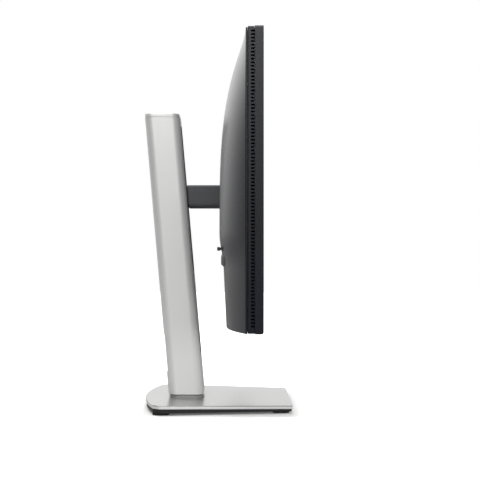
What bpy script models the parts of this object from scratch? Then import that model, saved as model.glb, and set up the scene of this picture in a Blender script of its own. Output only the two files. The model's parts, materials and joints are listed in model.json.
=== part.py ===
"""Computer monitor on a height-adjustable stand, built as separate sub-parts.

The screen faces -Y, +X is to the viewer's right and +Z is up. The origin is on the desk, at the
centre of the whole footprint. All lengths are in metres.
"""

import math

import bmesh
import bpy
from mathutils import Matrix, Vector

# Clearances
GAP = 0.0003
HEAD_CENTRE_Z = 0.2595

# Panel: outline, and the depths of its layers from the screen (-Y) to the back
PANEL_HALF_WIDTH = 0.2689
PANEL_BOTTOM = 0.1096
PANEL_TOP = 0.4236
PANEL_MIDDLE_Z = (PANEL_BOTTOM + PANEL_TOP) / 2
PANEL_FRONT = -0.0493
FRONT_FRAME_BACK = -0.0402
FRONT_FRAME_WALL = 0.0014
CORNER_RADIUS = 0.002
FRONT_EDGE_RADIUS = 0.0025  # the round along the bottom of the panel's front
CHIN_TOP = 0.1210
GLASS_FRONT = PANEL_FRONT + 0.0006

# Middle frame and its vents
MIDDLE_FRONT = FRONT_FRAME_BACK + GAP
MIDDLE_BACK = -0.0331
MIDDLE_INSET = 0.0006
MIDDLE_WALL = 0.0018
VENT_COUNT = 85
VENT_PITCH = 0.003574
VENT_HEIGHT = 0.0020
VENT_DEPTH = 0.0043
VENT_FIRST_Z = 0.1178

# Rear cover: a crowned shell that starts at the seam behind the middle frame
COVER_HALF_WIDTH = 0.2672
COVER_BOTTOM = 0.1099
COVER_TOP = 0.4218
COVER_FRONT = MIDDLE_BACK + GAP
COVER_SEAM = COVER_FRONT + 0.0003
COVER_CROWN = 0.0289
COVER_RIM = 0.0015
CROWN_FROM_TOP = 0.225
CROWN_TOP_POWER = 3.75
CROWN_FROM_SIDE = 0.090
STEP_TOP_Z = 0.2125
STEP_HEIGHT = 0.038
STEP_DEPTH = 0.0046
LOWER_SLOPE = 0.0467
COVER_WALL = 0.0024

# Stand pocket in the rear cover, with the plate and hinge inside it
POCKET_HALF = 0.062
POCKET_FLOOR = -0.0259
POCKET_RADIUS = 0.008
ATTACH_HALF = 0.0595
ATTACH_BACK = -0.0208
TILT_Y = -0.0094
LUG_RADIUS = 0.006
SHAFT_RADIUS = 0.003
BRACKET_RADIUS = 0.038
PIVOT_RADIUS = 0.008

# Port bay under the cover
BAY_HALF_WIDTH = 0.140
BAY_TOP = 0.136
BAY_FRONT = -0.0312

# Controls on the back, at the left seen from the front
CONTROL_X = -0.190
JOYSTICK_Z = 0.1960
JOYSTICK_PIVOT_Y = -0.0130
POWER_BUTTON_Z = 0.1839
RELEASE_BUTTON_Z = 0.183

# Column: a rounded tube that leans back
LEAN = math.tan(math.radians(5.0))
COLUMN_HALF_WIDTH = 0.032
COLUMN_DEPTH = 0.0431
COLUMN_RADIUS = 0.0105
COLUMN_WALL = 0.003
COLUMN_BOTTOM = 0.0159
COLUMN_TOP = 0.3564
CAP_TOP = 0.3612
COLUMN_FOOT_Y = 0.0369  # the centre line's depth where it meets the desk
SLOT_HALF_WIDTH = 0.017
SLOT_BOTTOM = 0.167
SLOT_TOP = 0.348
SWIVEL_Y = COLUMN_FOOT_Y + LEAN * COLUMN_BOTTOM
CABLE_HOLE_Z = 0.080
RECESS_DEPTH = 0.0009
RECESS_BOTTOM = 0.0443
RECESS_TOP = 0.0940

# Lift inside the column
ROD_X = 0.020
ROD_RADIUS = 0.003
CARRIAGE_BOTTOM = 0.200
CARRIAGE_TOP = 0.281
COIL_Z = 0.222
COIL_RADIUS = 0.012

# Arm from the carriage to the tilt hinge
ARM_HALF_WIDTH = 0.016
ARM_HALF_HEIGHT = 0.01425
ARM_FRONT = -0.0028

# Base
BASE_FRONT = -0.0896
BASE_FRONT_HALF = 0.081
BASE_REAR_HALF = 0.100
BASE_SIDE_BACK = 0.0734
BASE_BACK = 0.0892
BASE_THICKNESS = 0.0041
BASE_FRONT_TOP = 0.0097
BASE_RISE = 0.0153  # the plate thickens the base towards the back
FOOT_HEIGHT = 0.0026

FINISHES = {  # colour, roughness, metallic
    "satin aluminium": ((0.62, 0.62, 0.60), 0.32, 1.0),
    "dark plastic": ((0.030, 0.031, 0.034), 0.42, 0.0),
    "black plastic": ((0.012, 0.012, 0.013), 0.50, 0.0),
    "grey plastic": ((0.075, 0.077, 0.080), 0.40, 0.0),
    "warm plastic": ((0.16, 0.155, 0.145), 0.40, 0.0),
    "rubber": ((0.015, 0.015, 0.015), 0.85, 0.0),
    "steel": ((0.55, 0.56, 0.58), 0.35, 1.0),
    "zinc": ((0.45, 0.46, 0.48), 0.45, 1.0),
    "glass": ((0.010, 0.011, 0.013), 0.08, 0.0),
    "clear acrylic": ((0.80, 0.85, 0.88), 0.10, 0.0),
    "white film": ((0.85, 0.85, 0.84), 0.60, 0.0),
    "circuit board": ((0.02, 0.12, 0.06), 0.45, 0.0),
}


# ---------------------------------------------------------------- scene helpers


def clear_scene():
    for obj in list(bpy.data.objects):
        bpy.data.objects.remove(obj, do_unlink=True)


def new_collection(name):
    collection = bpy.data.collections.new(name)
    bpy.context.scene.collection.children.link(collection)
    return collection


def own_material(name, finish):
    colour, roughness, metallic = FINISHES[finish]
    material = bpy.data.materials.new(name)
    material.use_nodes = True
    shader = material.node_tree.nodes["Principled BSDF"]
    shader.inputs["Base Color"].default_value = (*colour, 1.0)
    shader.inputs["Roughness"].default_value = roughness
    shader.inputs["Metallic"].default_value = metallic
    return material


def joint_empty(name, place, parent=None):
    """An empty on a joint's axis. The pieces that the joint moves are its children."""
    empty = bpy.data.objects.new(name, None)
    empty.empty_display_size = 0.02
    PARTS.objects.link(empty)
    empty["world"] = place
    empty.location = place
    if parent:
        empty.parent = parent
        empty.location = Vector(place) - Vector(parent["world"])
    return empty


def add(name, mesh, finish, joint, place=(0, 0, 0)):
    """One sub-part, with its mesh's own origin at place, moved by the joint's empty."""
    obj = bpy.data.objects.new(name, mesh)
    PARTS.objects.link(obj)
    obj.parent = joint
    obj.location = Vector(place) - Vector(joint["world"])
    mesh.materials.append(own_material(name, finish))
    mesh.shade_smooth()
    mesh.set_sharp_from_angle(angle=math.radians(35))
    return obj


def tool(name, mesh, place=(0, 0, 0)):
    """A shape that only cuts or joins another one."""
    obj = bpy.data.objects.new(name, mesh)
    CUTTERS.objects.link(obj)
    obj.location = place
    obj.hide_render = True
    obj.display_type = "WIRE"
    return obj


def boolean(target, other, operation):
    modifier = target.modifiers.new(operation.lower() + " " + other.name, "BOOLEAN")
    modifier.operation = operation
    modifier.object = other
    return target


def cut(target, *cutters):
    for cutter in cutters:
        boolean(target, cutter, "DIFFERENCE")
    return target


def join(target, *pieces):
    for piece in pieces:
        boolean(target, piece, "UNION")
    return target


# ---------------------------------------------------------------- mesh helpers


def block(low, high, bevel=0.0, segments=2):
    """A box between two corners, and the place of its centre."""
    low, high = Vector(low), Vector(high)
    shape = bmesh.new()
    bmesh.ops.create_cube(shape, size=1.0, matrix=Matrix.Diagonal((*(high - low), 1.0)))
    if bevel:
        bmesh.ops.bevel(shape, geom=shape.edges[:], offset=bevel, segments=segments,
                        profile=0.5, affect="EDGES")
    mesh = bpy.data.meshes.new("block")
    shape.to_mesh(mesh)
    shape.free()
    return mesh, (low + high) / 2


def turned(radius, length, axis="Z", sides=32, end_radius=None):
    """A cylinder, or a cone frustum, centred on its own origin, with its first end towards -axis."""
    turn = {"X": Matrix.Rotation(math.pi / 2, 4, "Y"), "Z": Matrix.Identity(4),
            "Y": Matrix.Rotation(-math.pi / 2, 4, "X")}[axis]
    shape = bmesh.new()
    bmesh.ops.create_cone(shape, cap_ends=True, segments=sides, radius1=radius,
                          radius2=radius if end_radius is None else end_radius,
                          depth=length, matrix=turn)
    mesh = bpy.data.meshes.new("turned")
    shape.to_mesh(mesh)
    shape.free()
    return mesh


def weld(mesh):
    shape = bmesh.new()
    shape.from_mesh(mesh)
    bmesh.ops.remove_doubles(shape, verts=shape.verts[:], dist=1e-6)
    bmesh.ops.recalc_face_normals(shape, faces=shape.faces[:])
    shape.to_mesh(mesh)
    shape.free()


def prism(outlines, thickness, facing="Z"):
    """A flat outline with a thickness. Outlines inside the first one are holes.

    Facing Z the outline lies in XY, facing Y in XZ, and facing X in YZ.
    """
    curve = bpy.data.curves.new("outline", "CURVE")
    curve.dimensions = "2D"
    curve.fill_mode = "BOTH"
    curve.extrude = thickness / 2
    for outline in outlines:
        spline = curve.splines.new("POLY")
        spline.points.add(len(outline) - 1)
        for point, (x, y) in zip(spline.points, outline):
            point.co = (x, y, 0.0, 1.0)
        spline.use_cyclic_u = True
    guide = bpy.data.objects.new("outline", curve)
    bpy.context.scene.collection.objects.link(guide)
    seen = guide.evaluated_get(bpy.context.evaluated_depsgraph_get())
    mesh = bpy.data.meshes.new_from_object(seen)
    bpy.data.objects.remove(guide)
    bpy.data.curves.remove(curve)
    weld(mesh)
    if facing == "Y":
        mesh.transform(Matrix.Rotation(math.pi / 2, 4, "X"))
    if facing == "X":
        mesh.transform(Matrix(((0, 0, 1, 0), (1, 0, 0, 0), (0, 1, 0, 0), (0, 0, 0, 1))))
    return mesh


def arc(centre, radius, start, end, steps):
    """Points on a circle from one angle to another, in degrees."""
    points = []
    for step in range(steps + 1):
        angle = math.radians(start + (end - start) * step / steps)
        points.append((centre[0] + radius * math.cos(angle), centre[1] + radius * math.sin(angle)))
    return points


def rounded(half_width, low, high, radius, steps=4):
    """A rectangle with round corners, symmetric about its second axis."""
    corners = ((half_width - radius, high - radius, 0), (radius - half_width, high - radius, 90),
               (radius - half_width, low + radius, 180), (half_width - radius, low + radius, 270))
    points = []
    for x, y, start in corners:
        points += arc((x, y), radius, start, start + 90, steps)
    return points


def circle(radius, sides=32, centre=(0.0, 0.0)):
    return arc(centre, radius, 0, 360 * (1 - 1 / sides), sides - 1)


def lean_back(mesh, height):
    """Shear a mesh, centred at this height, along the column's centre line."""
    mesh.transform(Matrix(((1, 0, 0, 0), (0, 1, LEAN, 0), (0, 0, 1, 0), (0, 0, 0, 1))))
    return (0.0, COLUMN_FOOT_Y + LEAN * height, height)


def leaning_prism(outlines, low, high):
    """A leaning prism with level ends, from an outline about the column's centre line."""
    mesh = prism(outlines, high - low)
    return mesh, lean_back(mesh, (low + high) / 2)


def leaning_block(half_width, front, back, low, high):
    """A leaning box. front and back are measured from the column's centre line."""
    outline = ((half_width, front), (half_width, back), (-half_width, back), (-half_width, front))
    return leaning_prism([outline], low, high)


# ---------------------------------------------------------------- base


def base_outline(inset):
    """A straight front, sides that open towards the back, and a shallow arc behind."""
    front = BASE_FRONT + inset
    half_front = BASE_FRONT_HALF - inset
    half_rear = BASE_REAR_HALF - inset
    side_back = BASE_SIDE_BACK - inset
    back = BASE_BACK - inset
    rise = back - side_back
    radius = (half_rear**2 + rise**2) / (2 * rise)
    spread = math.degrees(math.asin(half_rear / radius))
    points = [(-half_front + 0.004, front), (half_front - 0.004, front)]
    points += arc((half_front - 0.004, front + 0.004), 0.004, 290, 355, 2)
    points += [(half_rear, side_back - 0.006)]
    points += arc((0, back - radius), radius, 90 - spread + 1.2, 90 + spread - 1.2, 14)
    points += [(-half_rear, side_back - 0.006)]
    points += arc((-half_front + 0.004, front + 0.004), 0.004, 185, 250, 2)
    return points


def base_top(y):
    return BASE_FRONT_TOP + (y - BASE_FRONT) * BASE_RISE


def slope_with_base(mesh):
    mesh.transform(Matrix(((1, 0, 0, 0), (0, 1, 0, 0), (0, BASE_RISE, 1, 0), (0, 0, 0, 1))))


def build_base(root):
    plate_mesh = prism([base_outline(0.0), circle(0.0034, 24, (0, SWIVEL_Y))], BASE_THICKNESS)
    slope_with_base(plate_mesh)
    add("base_plate", plate_mesh, "satin aluminium", root, (0, 0, base_top(0) - BASE_THICKNESS / 2))

    floor = FOOT_HEIGHT + GAP
    underlay = add("base_underlay", prism([base_outline(0.0010), circle(0.0118, 32, (0, SWIVEL_Y))], 0.012),
                   "black plastic", root, (0, 0, floor + 0.006))
    trim = prism([base_outline(-0.01)], 0.02)
    slope_with_base(trim)
    cut(underlay, tool("underlay_top_cutter", trim, (0, 0, base_top(0) - BASE_THICKNESS - GAP + 0.01)))

    foot = prism([rounded(0.0065, -0.010, 0.010, 0.0064, 6)], FOOT_HEIGHT)
    feet = {"front_left": (-0.0697, -0.076), "front_right": (0.0697, -0.076),
            "rear_left": (-0.087, 0.066), "rear_right": (0.087, 0.066)}
    for corner, (x, y) in feet.items():
        add("foot_" + corner, foot.copy(), "rubber", root, (x, y, FOOT_HEIGHT / 2))

    # The plinth under the column carries the pin that the column swivels on
    top = COLUMN_BOTTOM - 0.0010
    low = base_top(SWIVEL_Y) + 0.0007
    plinth = prism([rounded(0.0316, -0.0206, 0.0206, 0.0102)], top - low)
    plinth = add("swivel_plinth", plinth, "satin aluminium", root, (0, SWIVEL_Y, (top + low) / 2))
    join(plinth, tool("swivel_pin_shape", turned(0.006, 0.030), (0, SWIVEL_Y, top + 0.0145)))
    cut(plinth, tool("screw_thread_cutter", turned(0.0034, 0.012, sides=24), (0, SWIVEL_Y, low + 0.004)))
    add("swivel_washer", prism([rounded(0.0306, -0.0196, 0.0196, 0.0092), circle(0.0063)], 0.0004),
        "black plastic", root, (0, SWIVEL_Y, top + 0.0005))


def build_base_screw(screw, ring):
    head = turned(0.008, 0.0032)
    screw_body = add("base_screw", head, "steel", screw, (0, SWIVEL_Y, 0.0028))
    join(screw_body, tool("screw_shank", turned(0.003, 0.011, sides=24), (0, SWIVEL_Y, 0.0095)))
    cut(screw_body, tool("screw_slot_cutter", block((-0.0006, -0.006, -0.0008), (0.0006, 0.006, 0.0008))[0],
                         (0, SWIVEL_Y, 0.0012)))
    outline = arc((0, 0), 0.0108, 180, 360, 16) + arc((0, 0), 0.0086, 360, 180, 16)
    add("screw_ring", prism([outline], 0.0014), "steel", ring, (0, SWIVEL_Y, 0.0022))


# ---------------------------------------------------------------- column and lift


def column_outline(inset):
    return rounded(COLUMN_HALF_WIDTH - inset, inset - COLUMN_DEPTH / 2, COLUMN_DEPTH / 2 - inset,
                   COLUMN_RADIUS - inset)


def oblong(half_width, half_height):
    return rounded(half_width, -half_height, half_height, half_width - 0.0001, 6)


def build_column(body):
    mesh, place = leaning_prism([column_outline(0.0), column_outline(COLUMN_WALL)], COLUMN_BOTTOM, COLUMN_TOP)
    shell = add("column_shell", mesh, "satin aluminium", body, place)
    slot_mesh, slot_place = leaning_block(SLOT_HALF_WIDTH, -0.030, 0.0, SLOT_BOTTOM, SLOT_TOP)
    hole = prism([oblong(0.0163, 0.0183)], 0.080, "Y")
    hole_place = (0, COLUMN_FOOT_Y + LEAN * CABLE_HOLE_Z, CABLE_HOLE_Z)
    pocket_mesh, pocket_place = leaning_block(0.0223, COLUMN_DEPTH / 2 - 0.0015, 0.030, 0.010, 0.0443)
    back = COLUMN_DEPTH / 2
    low, high = RECESS_BOTTOM, RECESS_TOP
    middle = (low + high) / 2
    profile = ((back - RECESS_DEPTH, low), (back + 0.010, low), (back + 0.010, high), (back, high),
               (back - RECESS_DEPTH, high - 0.0070))
    recess_mesh = prism([[(y, z - middle) for y, z in profile]], 0.080, "X")
    recess = tool("rear_recess_cutter", recess_mesh, lean_back(recess_mesh, middle))
    cut(shell, tool("arm_slot_cutter", slot_mesh, slot_place), tool("cable_hole_cutter", hole, hole_place),
        tool("rear_trim_cutter", pocket_mesh, pocket_place), recess)

    mesh, place = leaning_prism([column_outline(0.0003)], COLUMN_TOP + GAP, CAP_TOP)
    cap = add("column_cap", mesh, "satin aluminium", body, place)
    bevel = cap.modifiers.new("soft edge", "BEVEL")
    bevel.width = 0.0011
    bevel.segments = 2
    bevel.limit_method = "ANGLE"
    bevel.angle_limit = math.radians(60)

    mesh, place = leaning_prism([column_outline(COLUMN_WALL + GAP)], COLUMN_BOTTOM, 0.045)
    foot = add("column_foot", mesh, "zinc", body, place)
    cut(foot, tool("swivel_bore_cutter", turned(0.0063, 0.050), (0, SWIVEL_Y, 0.020)))

    half_width, low, high = 0.022, COLUMN_BOTTOM, 0.041
    profile = ((back - 0.0012, low), (back + 0.0005, low), (back + 0.0005, high),
               (back, high + 0.003), (back - 0.0012, high + 0.003))
    middle = (low + high) / 2
    trim = prism([[(y, z - middle) for y, z in profile]], 2 * half_width, "X")
    add("rear_trim", trim, "satin aluminium", body, lean_back(trim, middle))

    for side, x in (("left", -ROD_X), ("right", ROD_X)):
        mesh, place = leaning_prism([circle(ROD_RADIUS, 20, (x, -0.004))], 0.0455, COLUMN_TOP - 0.001)
        add("guide_rod_" + side, mesh, "steel", body, place)

    ring = add("cable_ring", prism([oblong(0.016, 0.018), oblong(0.0145, 0.0165)], 0.080, "Y"),
               "black plastic", body, hole_place)
    front_mesh, front_place = leaning_block(0.05, -0.08, -COLUMN_DEPTH / 2, 0.04, 0.12)
    back_mesh, back_place = leaning_block(0.05, COLUMN_DEPTH / 2, 0.08, 0.04, 0.12)
    cut(ring, tool("ring_front_cutter", front_mesh, front_place), tool("ring_back_cutter", back_mesh, back_place),
        recess)

    mesh, place = leaning_block(0.007, 0.0152, 0.0157, COIL_Z, 0.350)
    add("spring_ribbon", mesh, "steel", body, place)


def build_carriage(body, coil):
    mesh, place = leaning_block(0.025, -0.0165, 0.0142, CARRIAGE_BOTTOM, CARRIAGE_TOP)
    carriage = add("carriage_block", mesh, "zinc", body, place)
    for side, x in (("left", -ROD_X), ("right", ROD_X)):
        rod, rod_place = leaning_prism([circle(ROD_RADIUS + 0.0004, 20, (x, -0.004))], 0.18, 0.30)
        cut(carriage, tool("rod_bore_cutter_" + side, rod, rod_place))
    coil_place = (0, COLUMN_FOOT_Y + LEAN * COIL_Z - 0.001, COIL_Z)
    room = block((-0.0105, -0.040, -0.015), (0.0105, 0.040, 0.015))[0]
    cut(carriage, tool("coil_room_cutter", room, coil_place),
        tool("axle_bore_cutter", turned(SHAFT_RADIUS + GAP, 0.060, "X", 20), coil_place))
    add("spring_axle", turned(SHAFT_RADIUS, 0.030, "X", 20), "steel", body, coil_place)
    add("spring_coil", prism([circle(COIL_RADIUS, 40), circle(SHAFT_RADIUS + 0.0005, 20)], 0.016, "X"),
        "steel", coil, coil_place)

    pads = {"left": -1, "right": 1}
    for side, sign in pads.items():
        outline = [(sign * x, y) for x, y in ((0.0253, -0.007), (0.0287, -0.007), (0.0287, 0.007), (0.0253, 0.007))]
        mesh, place = leaning_prism([outline], 0.215, 0.268)
        add("glide_pad_" + side, mesh, "black plastic", body, place)

    # The arm: round-bottomed beam, with the hinge tongue at its front end
    half_width, half_height = ARM_HALF_WIDTH, ARM_HALF_HEIGHT
    section = arc((half_width - 0.002, half_height - 0.002), 0.002, 0, 90, 3)
    section += arc((0.002 - half_width, half_height - 0.002), 0.002, 90, 180, 3)
    section += arc((0.005 - half_width, 0.005 - half_height), 0.005, 180, 270, 4)
    section += arc((half_width - 0.005, 0.005 - half_height), 0.005, 270, 360, 4)
    length = 0.054
    arm = add("arm", prism([section], length, "Y"), "grey plastic", body,
              (0, ARM_FRONT + length / 2, HEAD_CENTRE_Z))
    tongue, tongue_place = block((-0.014, TILT_Y, HEAD_CENTRE_Z - 0.0065), (0.014, 0.004, HEAD_CENTRE_Z + 0.0065))
    hinge = (0, TILT_Y, HEAD_CENTRE_Z)
    join(arm, tool("tongue_shape", tongue, tongue_place), tool("knuckle_shape", turned(0.0065, 0.028, "X"), hinge))
    room, room_place = leaning_block(0.0253, -0.0168, 0.020, CARRIAGE_BOTTOM, CARRIAGE_TOP)
    cut(arm, tool("arm_root_cutter", room, room_place),
        tool("tilt_bore_cutter", turned(SHAFT_RADIUS + GAP, 0.060, "X", 24), hinge))


# ---------------------------------------------------------------- tilt and pivot


def build_tilt_head(body):
    hinge = (0, TILT_Y, HEAD_CENTRE_Z)
    front = ATTACH_BACK + 0.0012
    back = front + 0.0025
    bracket = add("tilt_bracket", turned(BRACKET_RADIUS, back - front, "Y", 48), "zinc", body,
                  (0, (front + back) / 2, HEAD_CENTRE_Z))
    for side, x in (("left", -0.0165), ("right", 0.0165)):
        profile = [(back - 0.001 - TILT_Y, -LUG_RADIUS)] + arc((0, 0), LUG_RADIUS, -90, 90, 10)
        profile += [(back - 0.001 - TILT_Y, LUG_RADIUS)]
        join(bracket, tool("lug_shape_" + side, prism([profile], 0.004, "X"), (x, TILT_Y, HEAD_CENTRE_Z)))
    cut(bracket, tool("lug_bore_cutter", turned(SHAFT_RADIUS + GAP, 0.060, "X", 24), hinge))
    add("tilt_shaft", turned(SHAFT_RADIUS, 0.0372, "X", 24), "steel", body, hinge)

    cover = prism([circle(0.037, 48), rounded(0.0190, -0.016, 0.016, 0.003, 3)], 0.0066, "Y")
    add("hinge_cover", cover, "black plastic", body, (0, back + GAP + 0.0033, HEAD_CENTRE_Z))

    shaft_front = POCKET_FLOOR + 0.0006
    stem = add("pivot_shaft", turned(PIVOT_RADIUS, front - GAP - shaft_front, "Y"), "steel", body,
               (0, (front - GAP + shaft_front) / 2, HEAD_CENTRE_Z))
    join(stem, tool("pivot_flange", turned(0.013, 0.0014, "Y"), (0, shaft_front + 0.0007, HEAD_CENTRE_Z)))
    add("pivot_washer", prism([circle(0.020), circle(PIVOT_RADIUS + 0.0006)], 0.0006, "Y"), "black plastic",
        body, (0, ATTACH_BACK + 0.0006, HEAD_CENTRE_Z))


def build_attach_plate(body):
    front = POCKET_FLOOR + GAP
    holes = [circle(0.0022, 12, (x, z)) for x in (-0.05, 0.05) for z in (-0.05, 0.05)]
    outline = rounded(ATTACH_HALF, -ATTACH_HALF, ATTACH_HALF, 0.007)
    mesh = prism([outline, circle(PIVOT_RADIUS + 0.0004)] + holes, ATTACH_BACK - front, "Y")
    plate = add("attach_plate", mesh, "black plastic", body, (0, (front + ATTACH_BACK) / 2, HEAD_CENTRE_Z))
    cut(plate, tool("flange_room_cutter", turned(0.0135, 0.004, "Y"), (0, front + 0.0003, HEAD_CENTRE_Z)))


# ---------------------------------------------------------------- panel


def ring_mesh(inset, wall, depth):
    """The panel's outline as a frame, inset from the outermost edge."""
    half_height = (PANEL_TOP - PANEL_BOTTOM) / 2
    outer = rounded(PANEL_HALF_WIDTH - inset, inset - half_height, half_height - inset, CORNER_RADIUS)
    inset += wall
    inner = rounded(PANEL_HALF_WIDTH - inset, inset - half_height, half_height - inset, 0.0003, 1)
    return prism([outer, inner], depth, "Y")


def front_edge_cutter(name):
    """What is left outside the round that runs along the bottom of the panel's front."""
    radius = FRONT_EDGE_RADIUS
    profile = arc((radius, radius), radius, 270, 180, 6)
    profile += [(-0.002, radius), (-0.002, -0.002), (radius, -0.002)]
    return tool(name, prism([profile], 0.560, "X"), (0, PANEL_FRONT, PANEL_BOTTOM))


def build_frames(body):
    depth = FRONT_FRAME_BACK - PANEL_FRONT
    front = add("front_frame", ring_mesh(0.0, FRONT_FRAME_WALL, depth), "dark plastic", body,
                (0, PANEL_FRONT + depth / 2, PANEL_MIDDLE_Z))
    cut(front, front_edge_cutter("front_frame_edge_cutter"))

    depth = MIDDLE_BACK - MIDDLE_FRONT
    middle = add("middle_frame", ring_mesh(MIDDLE_INSET, MIDDLE_WALL, depth), "dark plastic", body,
                 (0, MIDDLE_FRONT + depth / 2, PANEL_MIDDLE_Z))
    vents, place = block((-0.300, MIDDLE_FRONT - 0.001, VENT_FIRST_Z - VENT_HEIGHT / 2),
                         (0.300, MIDDLE_FRONT + VENT_DEPTH, VENT_FIRST_Z + VENT_HEIGHT / 2))
    vents = tool("vent_cutter", vents, place)
    row = vents.modifiers.new("row", "ARRAY")
    row.use_relative_offset = False
    row.use_constant_offset = True
    row.constant_offset_displace = (0, 0, VENT_PITCH)
    row.count = VENT_COUNT
    row.merge_threshold = 0.0001
    cut(middle, vents)


def build_screen(body):
    half = PANEL_HALF_WIDTH - FRONT_FRAME_WALL - GAP
    top = PANEL_TOP - FRONT_FRAME_WALL - GAP
    bezel, place = block((-half, PANEL_FRONT, PANEL_BOTTOM + FRONT_FRAME_WALL + GAP),
                         (half, PANEL_FRONT + 0.0025, CHIN_TOP))
    bezel = add("bottom_bezel", bezel, "dark plastic", body, place)
    cut(bezel, front_edge_cutter("bezel_edge_cutter"))
    glass, place = block((-half, GLASS_FRONT, CHIN_TOP + GAP), (half, GLASS_FRONT + 0.002, top))
    add("lcd_glass", glass, "glass", body, place)

    # Layers behind the glass: thickness, and which material each one is
    layers = (("film_stack", 0.0007, "white film"), ("light_guide", 0.0025, "clear acrylic"),
              ("reflector_sheet", 0.0004, "white film"))
    y = GLASS_FRONT + 0.002 + GAP
    for name, thickness, finish in layers:
        mesh, place = block((-0.2655, y, CHIN_TOP), (0.2655, y + thickness, 0.4205))
        add(name, mesh, finish, body, place)
        if name == "light_guide":
            bar, place = block((-0.262, y, 0.1135), (0.262, y + thickness, CHIN_TOP - 0.0006))
            add("led_bar", bar, "circuit board", body, place)
        y += thickness + GAP

    pan, place = block((-0.2668, y - 0.0045, 0.1125), (0.2668, y + 0.0008, 0.4212))
    pan = add("back_pan", pan, "steel", body, place)
    hollow, place = block((-0.2661, y - 0.010, 0.1132), (0.2661, y, 0.4208))
    cut(pan, tool("back_pan_cutter", hollow, place))

    mesh, place = block((-0.255, y + 0.0012, 0.125), (0.255, y + 0.0022, 0.410))
    add("chassis_plate", mesh, "steel", body, place)


def crown(x, z):
    """How far behind the seam the rear cover's outside stands, at a point of the panel's plane."""
    from_top = max(0.0, 1 - (COVER_TOP - z) / CROWN_FROM_TOP)
    from_side = max(0.0, 1 - (COVER_HALF_WIDTH - abs(x)) / CROWN_FROM_SIDE)
    into_step = min(max((STEP_TOP_Z - z) / STEP_HEIGHT, 0.0), 1.0)
    drop = STEP_DEPTH * into_step**2 * (3 - 2 * into_step)
    drop += LOWER_SLOPE * max(0.0, STEP_TOP_Z - STEP_HEIGHT - z)
    rise = (1 - from_top**CROWN_TOP_POWER) * (1 - from_side**2)
    return COVER_RIM + rise * (COVER_CROWN - COVER_RIM - drop)


def crowned_solid(inset, lower):
    """A closed solid between the cover's front plane and its crowned outside, made smaller by both."""
    columns, rows = 16, 16
    shape = bmesh.new()
    bmesh.ops.create_grid(shape, x_segments=columns, y_segments=rows, size=1.0)
    low, high = COVER_BOTTOM + inset, COVER_TOP - inset
    for vertex in shape.verts:
        x = (COVER_HALF_WIDTH - inset) * math.sin(vertex.co.x * math.pi / 2)
        z = low + (high - low) * math.sin((vertex.co.y + 1) / 4 * math.pi)
        vertex.co = (x, COVER_SEAM + crown(x, z) - lower, z)
    walls = bmesh.ops.extrude_face_region(shape, geom=shape.faces[:])
    for item in walls["geom"]:
        if isinstance(item, bmesh.types.BMVert):
            item.co.y = COVER_FRONT - lower
    bmesh.ops.recalc_face_normals(shape, faces=shape.faces[:])
    mesh = bpy.data.meshes.new("crowned")
    shape.to_mesh(mesh)
    shape.free()
    return mesh


def build_rear_cover(body):
    cover = add("rear_cover", crowned_solid(0.0, 0.0), "dark plastic", body)
    hollow = tool("cover_hollow_cutter", crowned_solid(COVER_WALL, COVER_WALL - 0.0002))
    pocket_half = POCKET_HALF + COVER_WALL
    walls = prism([rounded(pocket_half, -pocket_half, pocket_half, POCKET_RADIUS + COVER_WALL)], 0.080, "Y")
    cut(hollow, tool("pocket_walls", walls, (0, POCKET_FLOOR - COVER_WALL + 0.040, HEAD_CENTRE_Z)))
    pocket = prism([rounded(POCKET_HALF, -POCKET_HALF, POCKET_HALF, POCKET_RADIUS)], 0.080, "Y")
    bay, bay_place = block((-BAY_HALF_WIDTH, -0.060, 0.090), (BAY_HALF_WIDTH, 0.020, BAY_TOP))
    latch, latch_place = block((-0.0095, ATTACH_BACK - 0.0002, 0.190), (0.0095, ATTACH_BACK + 0.0040, 0.206))
    release, release_place = block((-0.0133, -0.020, RELEASE_BUTTON_Z - 0.0053),
                                   (0.0133, 0.010, RELEASE_BUTTON_Z + 0.0053))
    cut(cover, hollow, tool("pocket_cutter", pocket, (0, POCKET_FLOOR + 0.040, HEAD_CENTRE_Z)),
        tool("bay_cutter", bay, bay_place), tool("latch_hole_cutter", latch, latch_place),
        tool("release_hole_cutter", release, release_place),
        tool("joystick_hole_cutter", turned(0.0042, 0.030, "Y", 32), (CONTROL_X, -0.005, JOYSTICK_Z)),
        tool("power_hole_cutter", turned(0.0078, 0.030, "Y", 32), (CONTROL_X, -0.005, POWER_BUTTON_Z)))


# ---------------------------------------------------------------- electronics and ports


def build_boards(body):
    board_front, board_back = -0.0306, -0.0290
    boxes = (
        ("main_board", (-0.060, board_front, 0.1362), (0.125, board_back, 0.192), "circuit board"),
        ("heat_sink", (0.014, board_back + GAP, 0.160), (0.054, -0.018, 0.188), "zinc"),
        ("power_board", (-0.235, board_front, 0.140), (-0.100, board_back, 0.250), "circuit board"),
        ("transformer", (-0.165, board_back + GAP, 0.148), (-0.125, -0.014, 0.182), "black plastic"),
        ("mount_bracket", (-0.058, board_front - 0.0002, 0.2015), (0.058, -0.0286, 0.3175), "steel"),
    )
    for name, low, high, finish in boxes:
        mesh, place = block(low, high)
        add(name, mesh, finish, body, place)


PORTS = (  # name, centre X, width, depth, socket height, tongue width and depth
    ("mains_inlet", -0.100, 0.0280, 0.0150, 0.020, 0.0030, 0.0030),
    ("video_port_a", -0.040, 0.0170, 0.0070, 0.012, 0.0110, 0.0010),
    ("video_port_b", -0.010, 0.0180, 0.0070, 0.012, 0.0120, 0.0010),
    ("data_port_square", 0.022, 0.0120, 0.0110, 0.012, 0.0055, 0.0032),
    ("data_port_flat", 0.052, 0.0145, 0.0075, 0.012, 0.0100, 0.0018),
    ("audio_jack", 0.085, 0.0090, 0.0090, 0.012, 0.0010, 0.0010),
)


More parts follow.
